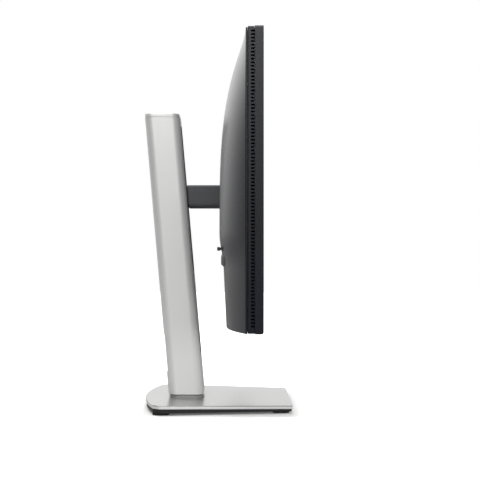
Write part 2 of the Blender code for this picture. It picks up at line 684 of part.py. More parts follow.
def build_ports(body):
    """A tray that is open below and behind, with each socket facing down through its ceiling."""
    half = BAY_HALF_WIDTH - GAP
    ceiling = BAY_TOP - GAP
    wall = 0.0012
    tray, place = block((-half, BAY_FRONT, COVER_BOTTOM), (half, -0.0125, ceiling))
    tray = add("port_recess", tray, "black plastic", body, place)
    inside, place = block((wall - half, BAY_FRONT + wall, 0.080), (half - wall, 0.020, ceiling - wall))
    cut(tray, tool("recess_cutter", inside, place))
    front = -0.0287
    for name, x, width, depth, height, tongue_width, tongue_depth in PORTS:
        low = ceiling - wall
        opening, place = block((x - width / 2 - GAP, front - GAP, low - 0.005),
                               (x + width / 2 + GAP, front + depth + GAP, low + 0.005))
        cut(tray, tool(name + "_opening_cutter", opening, place))
        mesh, place = block((x - width / 2, front, low), (x + width / 2, front + depth, low + height))
        port = add(name, mesh, "black plastic" if name == "mains_inlet" else "steel", body, place)
        edge = 0.0010
        socket, place = block((x - width / 2 + edge, front + edge, low - 0.005),
                              (x + width / 2 - edge, front + depth - edge, low + height - 0.002))
        cut(port, tool(name + "_socket_cutter", socket, place))
        middle = front + depth / 2
        tongue, place = block((x - tongue_width / 2, middle - tongue_depth / 2, low + 0.002),
                              (x + tongue_width / 2, middle + tongue_depth / 2, low + height - 0.001))
        join(port, tool(name + "_tongue", tongue, place))


# ---------------------------------------------------------------- controls


def build_controls(press, gimbal, stick, power, release, latch):
    pivot = Vector((CONTROL_X, JOYSTICK_PIVOT_Y, JOYSTICK_Z))
    mesh, place = block(pivot + Vector((-0.005, -0.0055, -0.0042)), pivot + Vector((0.005, -0.0022, 0.0042)))
    add("joystick_plunger", mesh, "black plastic", press, place)
    mesh, place = block(pivot + Vector((-0.0035, -0.0014, -0.0035)), pivot + Vector((0.0035, 0.0001, 0.0035)))
    add("joystick_gimbal", mesh, "black plastic", gimbal, place)
    tip = -0.0012
    start = pivot.y + 0.0008
    cap = add("joystick_cap", turned(0.00215, tip - start, "Y", 20), "dark plastic", stick,
              (pivot.x, (tip + start) / 2, pivot.z))
    bevel = cap.modifiers.new("soft edge", "BEVEL")
    bevel.width = 0.0004
    bevel.segments = 1
    bevel.limit_method = "ANGLE"
    bevel.angle_limit = math.radians(60)

    face, shoulder, root = -0.0055, -0.0082, -0.0150
    button = add("power_button", turned(0.0075, shoulder - root, "Y"), "warm plastic", power,
                 (CONTROL_X, (shoulder + root) / 2, POWER_BUTTON_Z))
    sunk = 0.0005
    join(button, tool("power_button_face", turned(0.0073, face - shoulder + sunk, "Y", end_radius=0.0049),
                      (CONTROL_X, (face + shoulder - sunk) / 2, POWER_BUTTON_Z)))

    mesh, place = block((-0.013, -0.0135, RELEASE_BUTTON_Z - 0.005), (0.013, -0.0050, RELEASE_BUTTON_Z + 0.005),
                        0.0006, 1)
    add("release_button", mesh, "grey plastic", release, place)
    mesh, place = block((-0.009, ATTACH_BACK + 0.0004, 0.1895), (0.009, ATTACH_BACK + 0.0034, 0.2035))
    add("release_latch", mesh, "steel", latch, place)


# ---------------------------------------------------------------- assembly


def build_monitor():
    root = joint_empty("base_frame", (0, 0, 0))
    screw = joint_empty("screw_axis", (0, SWIVEL_Y, 0.0028), root)
    ring = joint_empty("ring_axis", (0, SWIVEL_Y, 0.0022), screw)
    swivel = joint_empty("swivel_axis", (0, SWIVEL_Y, COLUMN_BOTTOM), root)
    lift_y = COLUMN_FOOT_Y + LEAN * HEAD_CENTRE_Z
    lift = joint_empty("lift_axis", (0, lift_y, HEAD_CENTRE_Z), swivel)
    coil = joint_empty("coil_axis", (0, COLUMN_FOOT_Y + LEAN * COIL_Z - 0.001, COIL_Z), lift)
    tilt = joint_empty("tilt_axis", (0, TILT_Y, HEAD_CENTRE_Z), lift)
    head = joint_empty("pivot_axis", (0, ATTACH_BACK, HEAD_CENTRE_Z), tilt)
    stick_place = (CONTROL_X, JOYSTICK_PIVOT_Y, JOYSTICK_Z)
    press = joint_empty("joystick_press_axis", stick_place, head)
    gimbal = joint_empty("joystick_gimbal_axis", stick_place, press)
    stick = joint_empty("joystick_axis", stick_place, gimbal)
    power = joint_empty("power_button_axis", (CONTROL_X, -0.0082, POWER_BUTTON_Z), head)
    release = joint_empty("release_button_axis", (0, -0.009, RELEASE_BUTTON_Z), head)
    latch = joint_empty("release_latch_axis", (0, ATTACH_BACK, 0.1965), head)

    build_base(root)
    build_base_screw(screw, ring)
    build_column(swivel)
    build_carriage(lift, coil)
    build_tilt_head(tilt)
    build_attach_plate(head)
    build_frames(head)
    build_screen(head)
    build_rear_cover(head)
    build_boards(head)
    build_ports(head)
    build_controls(press, gimbal, stick, power, release, latch)


clear_scene()
PARTS = new_collection("computer_monitor")
CUTTERS = new_collection("cutters")
build_monitor()
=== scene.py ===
"""Looks of the computer monitor: detailed pieces, materials, light and camera around the CAD frame.

The screen faces -Y, +X is to the viewer's right and +Z is up. All lengths are in metres.
"""

import json
import math

import bmesh
import bpy
from mathutils import Matrix, Vector


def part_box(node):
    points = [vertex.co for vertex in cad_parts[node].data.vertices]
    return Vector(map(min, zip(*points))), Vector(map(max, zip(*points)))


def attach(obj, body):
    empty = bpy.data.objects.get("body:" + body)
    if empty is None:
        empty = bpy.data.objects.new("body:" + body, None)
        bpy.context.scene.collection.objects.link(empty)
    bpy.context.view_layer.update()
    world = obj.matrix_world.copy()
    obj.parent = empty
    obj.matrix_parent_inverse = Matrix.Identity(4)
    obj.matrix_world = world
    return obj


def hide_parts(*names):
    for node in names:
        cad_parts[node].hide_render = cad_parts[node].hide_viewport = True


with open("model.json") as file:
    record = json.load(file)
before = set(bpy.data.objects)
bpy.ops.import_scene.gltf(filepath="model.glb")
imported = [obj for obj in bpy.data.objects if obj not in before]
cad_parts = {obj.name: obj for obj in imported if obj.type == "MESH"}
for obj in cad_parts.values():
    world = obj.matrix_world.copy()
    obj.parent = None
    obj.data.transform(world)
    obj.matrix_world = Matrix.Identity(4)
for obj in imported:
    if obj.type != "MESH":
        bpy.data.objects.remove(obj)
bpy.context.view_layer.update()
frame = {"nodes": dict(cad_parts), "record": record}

# Seen by the camera: side view from -X
CAMERA_PLACE = (-1.400, -0.0133, 0.2056)
CAMERA_LENS = 83.7
CAMERA_SHIFT_X = 0.0244

# Fine detail: the gap between touching pieces, and the roundings of crisp and of soft edges
SEAM = 0.0003
FINE_EDGE = 0.0003
SOFT_EDGE = 0.0008

# Panel
PANEL_LOW, PANEL_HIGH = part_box("front_frame")
PANEL_HALF_WIDTH = PANEL_HIGH.x
PANEL_HALF_HEIGHT = (PANEL_HIGH.z - PANEL_LOW.z) / 2
PANEL_MIDDLE_Z = (PANEL_HIGH.z + PANEL_LOW.z) / 2
PANEL_CORNER = 0.002
FRONT_EDGE_RADIUS = 0.0025
FRAME_WALL = 0.0014
MIDDLE_LOW, MIDDLE_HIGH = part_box("middle_frame")
MIDDLE_INSET = PANEL_HALF_WIDTH - MIDDLE_HIGH.x
MIDDLE_WALL = 0.0018
MIDDLE_EDGE = 0.0008
GLASS_CORNER = 0.0013
GLASS_BORDER = 0.0058
GLASS_BORDER_ABOVE = 0.0020

# Vents in the middle frame's four sides
VENT_PITCH = 0.003574
VENT_HEIGHT = 0.0020
VENT_DEPTH = 0.0038
VENT_FIRST_Z = 0.1178
VENT_COUNT = 85
VENT_TOP_COUNT = 145

# Rear cover: the same crowned shape as the CAD cover
COVER_LOW, COVER_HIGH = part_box("rear_cover")
COVER_SEAM = COVER_LOW.y + SEAM
COVER_CROWN = 0.0289
COVER_RIM = 0.0015
CROWN_FROM_TOP = 0.225
CROWN_TOP_POWER = 3.75
CROWN_FROM_SIDE = 0.090
STEP_TOP_Z = 0.2125
STEP_HEIGHT = 0.038
STEP_DEPTH = 0.0046
LOWER_SLOPE = 0.0467
LOWER_EDGE = 0.0010
SIDE_EDGE = 0.0006
COVER_WALL = 0.0024
BAY_HALF_WIDTH = 0.140
BAY_HALF_HEIGHT = 0.025
BAY_TOP = 0.136
JOYSTICK_GAP = 0.0020
JOYSTICK_RADIUS = 0.00215
BUTTON_RADIUS = 0.0075
RELEASE_CORNER = 0.0012

# Stand pocket and hinge
HEAD_CENTRE_Z = 0.2595
POCKET_HALF = 0.062
POCKET_FLOOR = -0.0259
POCKET_CORNER = 0.008
POCKET_RIM = 0.0016
PLATE_LOW, PLATE_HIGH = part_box("attach_plate")
TILT_Y = -0.0094
TILT_BORE = 0.0033
MOUNT_HOLE = 0.050
SHAFT_BORE = 0.0084
WASHER_BORE = 0.0135
ARM_FRONT = -0.0028
ARM_COLLAR = 0.0016
NECK_INSET = 0.0012
NECK_REACH = 0.0042

# Column and base
LEAN = math.tan(math.radians(5.0))
COLUMN_LOW, COLUMN_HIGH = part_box("column_shell")
COLUMN_DEPTH = COLUMN_HIGH.y - COLUMN_LOW.y - LEAN * (COLUMN_HIGH.z - COLUMN_LOW.z)
COLUMN_FOOT_Y = COLUMN_LOW.y + COLUMN_DEPTH / 2 - LEAN * COLUMN_LOW.z
COLUMN_CORNER = 0.0105
COLUMN_WALL = 0.003
SWIVEL_Y = COLUMN_FOOT_Y + LEAN * COLUMN_LOW.z
SLOT_HALF_WIDTH = 0.017
SLOT_BOTTOM = 0.167
SLOT_TOP = 0.348
SLOT_CORNER = 0.006
LINER_WALL = 0.0004
CABLE_HOLE_Z = 0.080
CAP_INSET = 0.0003
CAP_EDGE = 0.0011
TRIM_PROUD = 0.0005
TRIM_DEPTH = 0.0012
TRIM_HALF_WIDTH = 0.022
RECESS_DEPTH = 0.0009
RECESS_BOTTOM = 0.0443
RECESS_TOP = 0.0940
RECESS_SLOPE = 0.0070
BASE_LOW, BASE_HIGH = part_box("base_plate")
BASE_FRONT_HALF = 0.081
BASE_SIDE_BACK = 0.0734
BASE_THICKNESS = 0.0041
BASE_FRONT_TOP = 0.0097
BASE_RISE = 0.0153
BASE_EDGE = 0.0010
BASE_CORNER = 0.004
TRAY_INSET = 0.0010
SCREW_BORE = 0.0034
SCREW_HEAD_TOP = 0.0044
PLINTH_CORNER = 0.0102


# ---------- outlines


def arc(centre, radius, start, end, steps):
    """Points on a circle from one angle to another, in degrees."""
    points = []
    for step in range(steps + 1):
        angle = math.radians(start + (end - start) * step / steps)
        points.append((centre[0] + radius * math.cos(angle), centre[1] + radius * math.sin(angle)))
    return points


def rounded(half_width, half_height, radius, steps=5, centre=(0.0, 0.0)):
    """A rectangle with round corners."""
    radius = max(radius, 0.0001)
    across, up = half_width - radius, half_height - radius
    points = []
    for x, y, start in ((across, up, 0), (-across, up, 90), (-across, -up, 180), (across, -up, 270)):
        points += arc((centre[0] + x, centre[1] + y), radius, start, start + 90, steps)
    return points


def circle(radius, sides=48, centre=(0.0, 0.0)):
    return arc(centre, radius, 0, 360 * (1 - 1 / sides), sides - 1)


def ribbed(radius, depth, ribs):
    """A circle with shallow round ribs."""
    steps = ribs * 6
    points = []
    for step in range(steps):
        angle = 2 * math.pi * step / steps
        reach = radius - depth * (1 - math.cos(angle * ribs)) / 2
        points.append((reach * math.cos(angle), reach * math.sin(angle)))
    return points


def moved(outline, across, up):
    return [(x + across, y + up) for x, y in outline]


def panel_outline(inset):
    return rounded(PANEL_HALF_WIDTH - inset, PANEL_HALF_HEIGHT - inset, PANEL_CORNER - inset,
                   centre=(0.0, PANEL_MIDDLE_Z))


def pocket_outline(inset):
    return rounded(POCKET_HALF - inset, POCKET_HALF - inset, POCKET_CORNER - inset, 8,
                   (0.0, HEAD_CENTRE_Z))


def column_outline(inset):
    return rounded(COLUMN_HIGH.x - inset, COLUMN_DEPTH / 2 - inset, COLUMN_CORNER - inset, 12)


def base_outline(inset):
    """A straight front, sides that open towards the back, and a shallow arc behind."""
    corner = BASE_CORNER
    front = BASE_LOW.y + inset
    half_front = BASE_FRONT_HALF - inset
    half_rear = BASE_HIGH.x - inset
    side_back = BASE_SIDE_BACK - inset
    back = BASE_HIGH.y - inset
    rise = back - side_back
    radius = (half_rear**2 + rise**2) / (2 * rise)
    spread = math.degrees(math.asin(half_rear / radius))
    points = arc((half_front - corner, front + corner), corner, 275, 355, 6)
    points += [(half_rear, side_back - 0.006)]
    points += arc((0, back - radius), radius, 90 - spread + 1.2, 90 + spread - 1.2, 40)
    points += [(-half_rear, side_back - 0.006)]
    points += arc((corner - half_front, front + corner), corner, 185, 265, 6)
    return points


# ---------- meshes


def finished(shape):
    bmesh.ops.recalc_face_normals(shape, faces=shape.faces[:])
    mesh = bpy.data.meshes.new("shape")
    shape.to_mesh(mesh)
    shape.free()
    return mesh


def ring(outline, depth, facing="Y"):
    """An outline as points in space, at a depth along X, Y or Z."""
    place = {"X": lambda u, v: (depth, u, v),
             "Y": lambda u, v: (u, depth, v),
             "Z": lambda u, v: (u, v, depth)}[facing]
    return [place(u, v) for u, v in outline]


def loft(rings, closed=False):
    """Skins rings of as many points each. An open loft is capped, a closed one joins its ends."""
    shape = bmesh.new()
    loops = [[shape.verts.new(point) for point in points] for points in rings]
    pairs = list(zip(loops, loops[1:]))
    if closed:
        pairs.append((loops[-1], loops[0]))
    else:
        shape.faces.new(loops[0])
        shape.faces.new(loops[-1])
    for first, second in pairs:
        for i in range(len(first)):
            shape.faces.new((first[i - 1], first[i], second[i], second[i - 1]))
    return finished(shape)


def edge_steps(edge, steps=3):
    """(inset, drop) pairs from a flat face round a quarter circle to the side."""
    angles = [math.pi / 2 * step / steps for step in range(steps + 1)]
    return [(edge * (1 - math.sin(a)), edge * (1 - math.cos(a))) for a in angles]


def slab(outline_of, low, high, facing="Y", edge=FINE_EDGE, steps=3):
    """A solid between two depths, with round edges at both. outline_of(inset) gives its outline."""
    corner = edge_steps(edge, steps)
    rings = [ring(outline_of(inset), low + drop, facing) for inset, drop in corner]
    rings += [ring(outline_of(inset), high - drop, facing) for inset, drop in reversed(corner)]
    return loft(rings)


def band(profile, outline_of, facing="Y"):
    """A closed frame: (inset, depth) points carried round an outline."""
    return loft([ring(outline_of(inset), depth, facing) for inset, depth in profile], closed=True)


def turned(profile, centre, facing="Y", sides=48):
    """A solid of revolution from (radius, depth) points. centre is in the two other axes."""
    return loft([ring(circle(radius, sides, centre), depth, facing) for radius, depth in profile])


def block(low, high):
    low, high = Vector(low), Vector(high)
    shape = bmesh.new()
    place = Matrix.Translation((low + high) / 2) @ Matrix.Diagonal((*(high - low), 1.0))
    bmesh.ops.create_cube(shape, size=1.0, matrix=place)
    return finished(shape)


def merged(*meshes):
    """Separate shapes as one mesh."""
    shape = bmesh.new()
    for mesh in meshes:
        shape.from_mesh(mesh)
    return finished(shape)


def boolean(mesh, operation, *others):
    """The mesh after it is cut by the others, or joined with them."""
    scene = bpy.context.scene.collection
    target = bpy.data.objects.new("target", mesh)
    scene.objects.link(target)
    helpers = [bpy.data.objects.new("helper", other) for other in others]
    for helper in helpers:
        scene.objects.link(helper)
        modifier = target.modifiers.new("boolean", "BOOLEAN")
        modifier.operation = operation
        modifier.object = helper
    seen = target.evaluated_get(bpy.context.evaluated_depsgraph_get())
    result = bpy.data.meshes.new_from_object(seen)
    for obj in [target, *helpers]:
        bpy.data.objects.remove(obj)
    return result


def cut(mesh, *others):
    return boolean(mesh, "DIFFERENCE", *others)


def joined(mesh, *others):
    return boolean(mesh, "UNION", *others)


def soften(mesh, width, segments=2):
    """Rounds every sharp edge."""
    shape = bmesh.new()
    shape.from_mesh(mesh)
    sharp = [e for e in shape.edges if e.is_manifold and e.calc_face_angle() > math.radians(30)]
    bmesh.ops.bevel(shape, geom=sharp, offset=width, segments=segments, profile=0.5, affect="EDGES",
                    clamp_overlap=True)
    return finished(shape)


def wire(path, radius, sides=12):
    """A round wire along a path that lies flat."""
    rings = []
    for i, point in enumerate(path):
        ahead = path[min(i + 1, len(path) - 1)] - path[max(i - 1, 0)]
        across = ahead.cross(Vector((0, 0, 1))).normalized()
        rings.append([point + across * u + Vector((0, 0, v)) for u, v in circle(radius, sides)])
    return loft(rings)


# ---------- materials


class Finish:
    """One procedural material. Textures are in metres of the model's own space."""

    def __init__(self, name, roughness, metallic=0.0, **sockets):
        self.material = bpy.data.materials.new(name)
        self.material.use_nodes = True
        self.tree = self.material.node_tree
        self.shader = self.tree.nodes["Principled BSDF"]
        self.shader.inputs["Roughness"].default_value = roughness
        self.shader.inputs["Metallic"].default_value = metallic
        for socket, value in sockets.items():
            self.shader.inputs[socket.replace("_", " ")].default_value = value
        self.space = self.node("ShaderNodeTexCoord").outputs["Object"]

    def node(self, kind, **inputs):
        node = self.tree.nodes.new(kind)
        for name, value in inputs.items():
            self.put(node.inputs[name.replace("_", " ")], value)
        return node

    def put(self, socket, value):
        """Links a socket to another one, or sets its value."""
        if isinstance(value, bpy.types.NodeSocket):
            self.tree.links.new(value, socket)
        else:
            socket.default_value = value

    def stretched(self, stretch):
        return self.node("ShaderNodeMapping", Vector=self.space, Scale=stretch).outputs["Vector"]

    def noise(self, size, detail=2.0, stretch=(1.0, 1.0, 1.0)):
        """Noise whose features are about that size, from 0 to 1 around 0.5."""
        space = self.stretched(stretch)
        return self.node("ShaderNodeTexNoise", Vector=space, Scale=1 / size, Detail=detail).outputs["Fac"]

    def cells(self, size):
        """Distance to the nearest of scattered points, for grain."""
        texture = self.node("ShaderNodeTexVoronoi", Vector=self.space, Scale=1 / size)
        return texture.outputs["Distance"]

    def between(self, factor, low, high, start=0.3, end=0.7):
        node = self.node("ShaderNodeMapRange", Value=factor)
        for name, value in (("From Min", start), ("From Max", end), ("To Min", low), ("To Max", high)):
            node.inputs[name].default_value = value
        return node.outputs["Result"]

    def mixed(self, factor, first, second):
        node = self.tree.nodes.new("ShaderNodeMix")
        node.data_type = "RGBA"
        self.put(node.inputs[0], factor)
        for socket, value in ((node.inputs[6], first), (node.inputs[7], second)):
            self.put(socket, value if isinstance(value, bpy.types.NodeSocket) else (*value, 1.0))
        return node.outputs[2]

    def colour(self, value):
        self.put(self.shader.inputs["Base Color"], value)

    def shades(self, factor, first, second):
        """A base colour that goes from one shade to another with the factor."""
        self.colour(self.mixed(self.between(factor, 0, 1), first, second))

    def rough(self, value):
        self.put(self.shader.inputs["Roughness"], value)

    def bump(self, height, depth, strength=1.0):
        node = self.node("ShaderNodeBump", Height=height, Distance=depth, Strength=strength)
        self.put(self.shader.inputs["Normal"], node.outputs["Normal"])


def scaled(colour, share):
    return tuple(value * share for value in colour)


def moulded(name, colour, roughness, grain=0.0006, depth=0.00002, **sockets):
    """Moulded plastic: an even spark-eroded grain, and faint cloudy variation in shade and gloss."""
    finish = Finish(name, roughness, **sockets)
    clouds = finish.noise(0.030)
    finish.shades(clouds, scaled(colour, 0.92), scaled(colour, 1.08))
    finish.rough(finish.between(finish.noise(grain, 1.0), roughness - 0.04, roughness + 0.04))
    finish.bump(finish.cells(grain), depth, 0.5)
    return finish.material


def satin_aluminium(name, shade, roughness, metallic, **sockets):
    """Bead-blasted and lacquered: a fine sparkle of tiny dents, with a broad faint cloudiness."""
    finish = Finish(name, roughness, metallic, **sockets)
    speckle = finish.noise(0.0005, 2.0)
    clouds = finish.between(finish.noise(0.050), 0, 1)
    light = finish.mixed(clouds, scaled((0.79, 0.79, 0.78), shade), scaled((0.82, 0.82, 0.81), shade))
    finish.shades(speckle, light, scaled((0.77, 0.77, 0.76), shade))
    finish.rough(finish.between(speckle, roughness - 0.01, roughness + 0.02))
    finish.bump(finish.cells(0.0004), 0.000002, 0.2)
    return finish.material


def rolled_steel():
    """Rolled sheet and turned rod: fine lines one way, and a little uneven gloss."""
    finish = Finish("steel", 0.35, metallic=1.0)
    lines = finish.noise(0.0006, 3.0, (0.05, 1.0, 1.0))
    finish.shades(lines, (0.50, 0.51, 0.53), (0.60, 0.61, 0.63))
    finish.rough(finish.between(lines, 0.28, 0.42))
    finish.bump(lines, 0.000015, 0.5)
    return finish.material


def cast_zinc():
    """Die casting: soft pits and a cloudy grey skin."""
    finish = Finish("zinc", 0.50, metallic=1.0)
    skin = finish.noise(0.004, 4.0)
    finish.shades(skin, (0.36, 0.37, 0.39), (0.48, 0.49, 0.51))
    finish.rough(finish.between(skin, 0.42, 0.60))
    finish.bump(finish.noise(0.0012, 2.0), 0.00005, 0.4)
    return finish.material


def soft_rubber():
    finish = Finish("rubber", 0.85)
    finish.shades(finish.noise(0.006, 3.0), (0.012, 0.012, 0.012), (0.022, 0.022, 0.022))
    finish.rough(finish.between(finish.noise(0.0010), 0.78, 0.92))
    finish.bump(finish.cells(0.0008), 0.00005, 0.5)
    return finish.material


def screen_glass():
    """Anti-glare film over the dark cells, with a blacker border round the lit area."""
    finish = Finish("screen_glass", 0.24, Specular_IOR_Level=0.5)
    split = finish.node("ShaderNodeSeparateXYZ", Vector=finish.space)
    glass_low, glass_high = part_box("lcd_glass")
    middle_z = (glass_low.z + glass_high.z) / 2
    half_height = (glass_high.z - glass_low.z) / 2
    inside = []
    for axis, middle, half in (("X", 0.0, glass_high.x - GLASS_BORDER),
                               ("Z", middle_z, half_height - GLASS_BORDER_ABOVE)):
        shifted = finish.node("ShaderNodeMath")
        shifted.operation = "SUBTRACT"
        finish.put(shifted.inputs[0], split.outputs[axis])
        shifted.inputs[1].default_value = middle
        reach = finish.node("ShaderNodeMath")
        reach.operation = "ABSOLUTE"
        finish.put(reach.inputs[0], shifted.outputs[0])
        inside.append(finish.between(reach.outputs[0], 1.0, 0.0, half - 0.0002, half + 0.0002))
    both = finish.node("ShaderNodeMath")
    both.operation = "MULTIPLY"
    finish.put(both.inputs[0], inside[0])
    finish.put(both.inputs[1], inside[1])
    finish.colour(finish.mixed(both.outputs[0], (0.004, 0.004, 0.0045), (0.014, 0.015, 0.018)))
    finish.rough(finish.between(finish.noise(0.0004, 1.0), 0.22, 0.28))
    finish.bump(finish.noise(0.0003, 1.0), 0.000004, 0.4)
    return finish.material


def clear_acrylic():
    finish = Finish("clear_acrylic", 0.10, Transmission_Weight=0.7, IOR=1.49)
    dots = finish.between(finish.cells(0.0012), 0, 1, 0.25, 0.35)
    finish.colour(finish.mixed(dots, (0.92, 0.94, 0.95), (0.80, 0.85, 0.88)))
    finish.rough(finish.between(finish.noise(0.010), 0.06, 0.14))
    return finish.material


def white_film():
    finish = Finish("white_film", 0.60)
    finish.shades(finish.noise(0.020), (0.82, 0.82, 0.81), (0.87, 0.87, 0.86))
    finish.rough(finish.between(finish.noise(0.0008), 0.55, 0.65))
    return finish.material


def circuit_board():
    """Green solder resist over copper tracks, with small bright pads."""
    finish = Finish("circuit_board", 0.40)
    tracks = finish.node("ShaderNodeTexBrick", Vector=finish.space, Scale=90.0)
    finish.put(tracks.inputs["Color1"], (0.015, 0.10, 0.045, 1.0))
    finish.put(tracks.inputs["Color2"], (0.020, 0.13, 0.055, 1.0))
    finish.put(tracks.inputs["Mortar"], (0.035, 0.20, 0.085, 1.0))
    pads = finish.between(finish.cells(0.006), 1, 0, 0.10, 0.13)
    finish.colour(finish.mixed(pads, tracks.outputs["Color"], (0.60, 0.55, 0.40)))
    finish.rough(finish.between(finish.noise(0.004), 0.32, 0.48))
    finish.bump(tracks.outputs["Fac"], 0.00003, 0.4)
    return finish.material


def contact_gold():
    finish = Finish("contact_gold", 0.28, metallic=1.0)
    finish.shades(finish.noise(0.0008), (0.83, 0.62, 0.28), (0.90, 0.70, 0.36))
    finish.rough(finish.between(finish.noise(0.0005), 0.22, 0.34))
    return finish.material


MATERIALS = {
    "satin_aluminium": satin_aluminium("satin_aluminium", 1.0, 0.42, 0.35),
    "dark_plastic": moulded("dark_plastic", (0.0045, 0.0053, 0.0105), 0.31, 0.0007),
    "black_plastic": moulded("black_plastic", (0.0080, 0.0080, 0.0085), 0.55, 0.0009, 0.00003),
    "grey_plastic": moulded("grey_plastic", (0.062, 0.064, 0.072), 0.42),
    "warm_plastic": moulded("warm_plastic", (0.150, 0.146, 0.138), 0.40),
    "rubber": soft_rubber(),
    "steel": rolled_steel(),
    "zinc": cast_zinc(),
    "screen_glass": screen_glass(),
    "clear_acrylic": clear_acrylic(),
    "white_film": white_film(),
    "circuit_board": circuit_board(),
}
GOLD = contact_gold()
# A copy of the satin aluminium at 0.39 of its shade: painted shade for the base plate's top and bevel, and
# for the plinth
SHADED_ALUMINIUM = satin_aluminium("shaded_aluminium", 0.39, 0.28, 0.35, Specular_IOR_Level=0.2)
# A near-black, almost unreflecting finish: painted shade for the dark inside of the monitor behind the
# vents
VENT_SHADE_BLACK = moulded("vent_shade_black", (0.0010, 0.0010, 0.0011), 0.90, 0.0005, 0.00005, Specular_IOR_Level=0.05)


def finish_cad_nodes():
    """Every CAD node takes the detailed material of its slot in the record."""
    for row in frame["record"]["subparts"]:
        obj = frame["nodes"][row["node"]]
        obj.data.materials.clear()
        obj.data.materials.append(MATERIALS[row["material_slot"]])


def piece(name, mesh, slot, body, *nodes, finish=None):
    """A detailed piece that rides on a body and stands for the CAD nodes named.

    It has its slot's material, unless another finish is given.
    """
    obj = bpy.data.objects.new(name, mesh)
    bpy.context.scene.collection.objects.link(obj)
    mesh.materials.clear()
    mesh.materials.append(finish or MATERIALS[slot])
    mesh.shade_smooth()
    mesh.set_sharp_from_angle(angle=math.radians(38))
    weights = obj.modifiers.new("weighted normals", "WEIGHTED_NORMAL")
    weights.keep_sharp = True
    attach(obj, body)
    if nodes:
        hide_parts(*nodes)
    return obj


# ---------- panel


def front_edge_cutter():
    """What is left outside the round that runs along the bottom of the panel's front."""
    clear = 0.002
    front, low = PANEL_LOW.y - clear, PANEL_LOW.z - clear
    centre = (PANEL_LOW.y + FRONT_EDGE_RADIUS, PANEL_LOW.z + FRONT_EDGE_RADIUS)
    profile = arc(centre, FRONT_EDGE_RADIUS, 270, 180, 8)
    profile += [(front, centre[1]), (front, low), (centre[0], low)]
    return loft([ring(profile, x, "X") for x in (-0.280, 0.280)])


def build_frames():
    front, back = PANEL_LOW.y, PANEL_HIGH.y
    profile = [(FRAME_WALL, back), (FINE_EDGE, back), (0.0, back - FINE_EDGE)]
    profile += [(inset, front + drop) for inset, drop in reversed(edge_steps(SOFT_EDGE, 4))]
    profile += [(FRAME_WALL, front)]
    front_frame = cut(band(profile, panel_outline), front_edge_cutter())
    piece("front_frame_shell", front_frame, "dark_plastic", "head", "front_frame")

    front, back = MIDDLE_LOW.y, MIDDLE_HIGH.y
    inner = MIDDLE_INSET + MIDDLE_WALL
    profile = [(inner, front), (MIDDLE_INSET, front)]
    profile += [(MIDDLE_INSET + inset, back - drop)
                for inset, drop in reversed(edge_steps(MIDDLE_EDGE, 5))]
    profile += [(inner, back)]
    frame_mesh = cut(band(profile, panel_outline), merged(*vent_cutters()))
    piece("middle_frame_shell", frame_mesh, "dark_plastic", "head", "middle_frame")

    outside = inner + 0.0002
    inside = outside + 0.0003
    profile = [(outside, front), (outside, back), (inside, back), (inside, front)]
    # A near-black sheet just inside the vents: painted shade that stands for the dark inside behind the
    # slots
    piece("vent_shade_sheet", band(profile, panel_outline), "black_plastic", "head", finish=VENT_SHADE_BLACK)


def vent_cutters():
    """Cutters for a row of slots in each side, open towards the front frame and round behind."""
    front, back = MIDDLE_LOW.y - 0.001, MIDDLE_LOW.y + VENT_DEPTH
    half = VENT_HEIGHT / 2
    slot = [(front, -half), *arc((back - half, 0), half, -90, 90, 6), (front, half)]
    inner, outer = MIDDLE_WALL + 0.0005, 0.001
    for side in (-1, 1):
        reach = (side * (MIDDLE_HIGH.x - inner), side * (MIDDLE_HIGH.x + outer))
        for i in range(VENT_COUNT):
            z = VENT_FIRST_Z + i * VENT_PITCH
            yield loft([[(x, y, z + up) for y, up in slot] for x in reach])
    for z, side in ((MIDDLE_LOW.z, -1), (MIDDLE_HIGH.z, 1)):
        reach = (z - side * inner, z + side * outer)
        for i in range(VENT_TOP_COUNT):
            x = (i - (VENT_TOP_COUNT - 1) / 2) * VENT_PITCH
            yield loft([[(x + across, y, height) for y, across in slot] for height in reach])


def build_screen():
    for node, name, slot in (("lcd_glass", "screen", "screen_glass"),
                             ("bottom_bezel", "chin", "dark_plastic")):
        low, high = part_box(node)
        half = (high.z - low.z) / 2

        def outline(inset):
            return rounded(high.x - inset, half - inset, GLASS_CORNER - inset, 3, (0.0, low.z + half))

        mesh = slab(outline, low.y, high.y)
        if name == "chin":
            mesh = cut(mesh, front_edge_cutter())
        piece(name, mesh, slot, "head", node)


def crown(x, z):
    """How far behind the seam the rear cover's outside stands, at a point of the panel's plane."""
    from_top = max(0.0, 1 - (COVER_HIGH.z - z) / CROWN_FROM_TOP)
    from_side = max(0.0, 1 - (COVER_HIGH.x - abs(x)) / CROWN_FROM_SIDE)
    into_step = min(max((STEP_TOP_Z - z) / STEP_HEIGHT, 0.0), 1.0)
    drop = STEP_DEPTH * into_step**2 * (3 - 2 * into_step)
    drop += LOWER_SLOPE * max(0.0, STEP_TOP_Z - STEP_HEIGHT - z)
    rise = (1 - from_top**CROWN_TOP_POWER) * (1 - from_side**2)
    height = COVER_RIM + rise * (COVER_CROWN - COVER_RIM - drop)
    for reach, radius in ((COVER_HIGH.x - abs(x), SIDE_EDGE),
                          (COVER_HIGH.z - z, SIDE_EDGE),
                          (z - COVER_LOW.z, LOWER_EDGE)):
        short = min(max(radius - reach, 0.0), radius)
        height -= radius - math.sqrt(radius**2 - short**2)
    return max(0.0, height)


def on_cover(outline, above=0.0):
    """An outline's points on the rear cover's outside, or that far above it."""
    return [(x, COVER_SEAM + crown(x, z) + above, z) for x, z in outline]


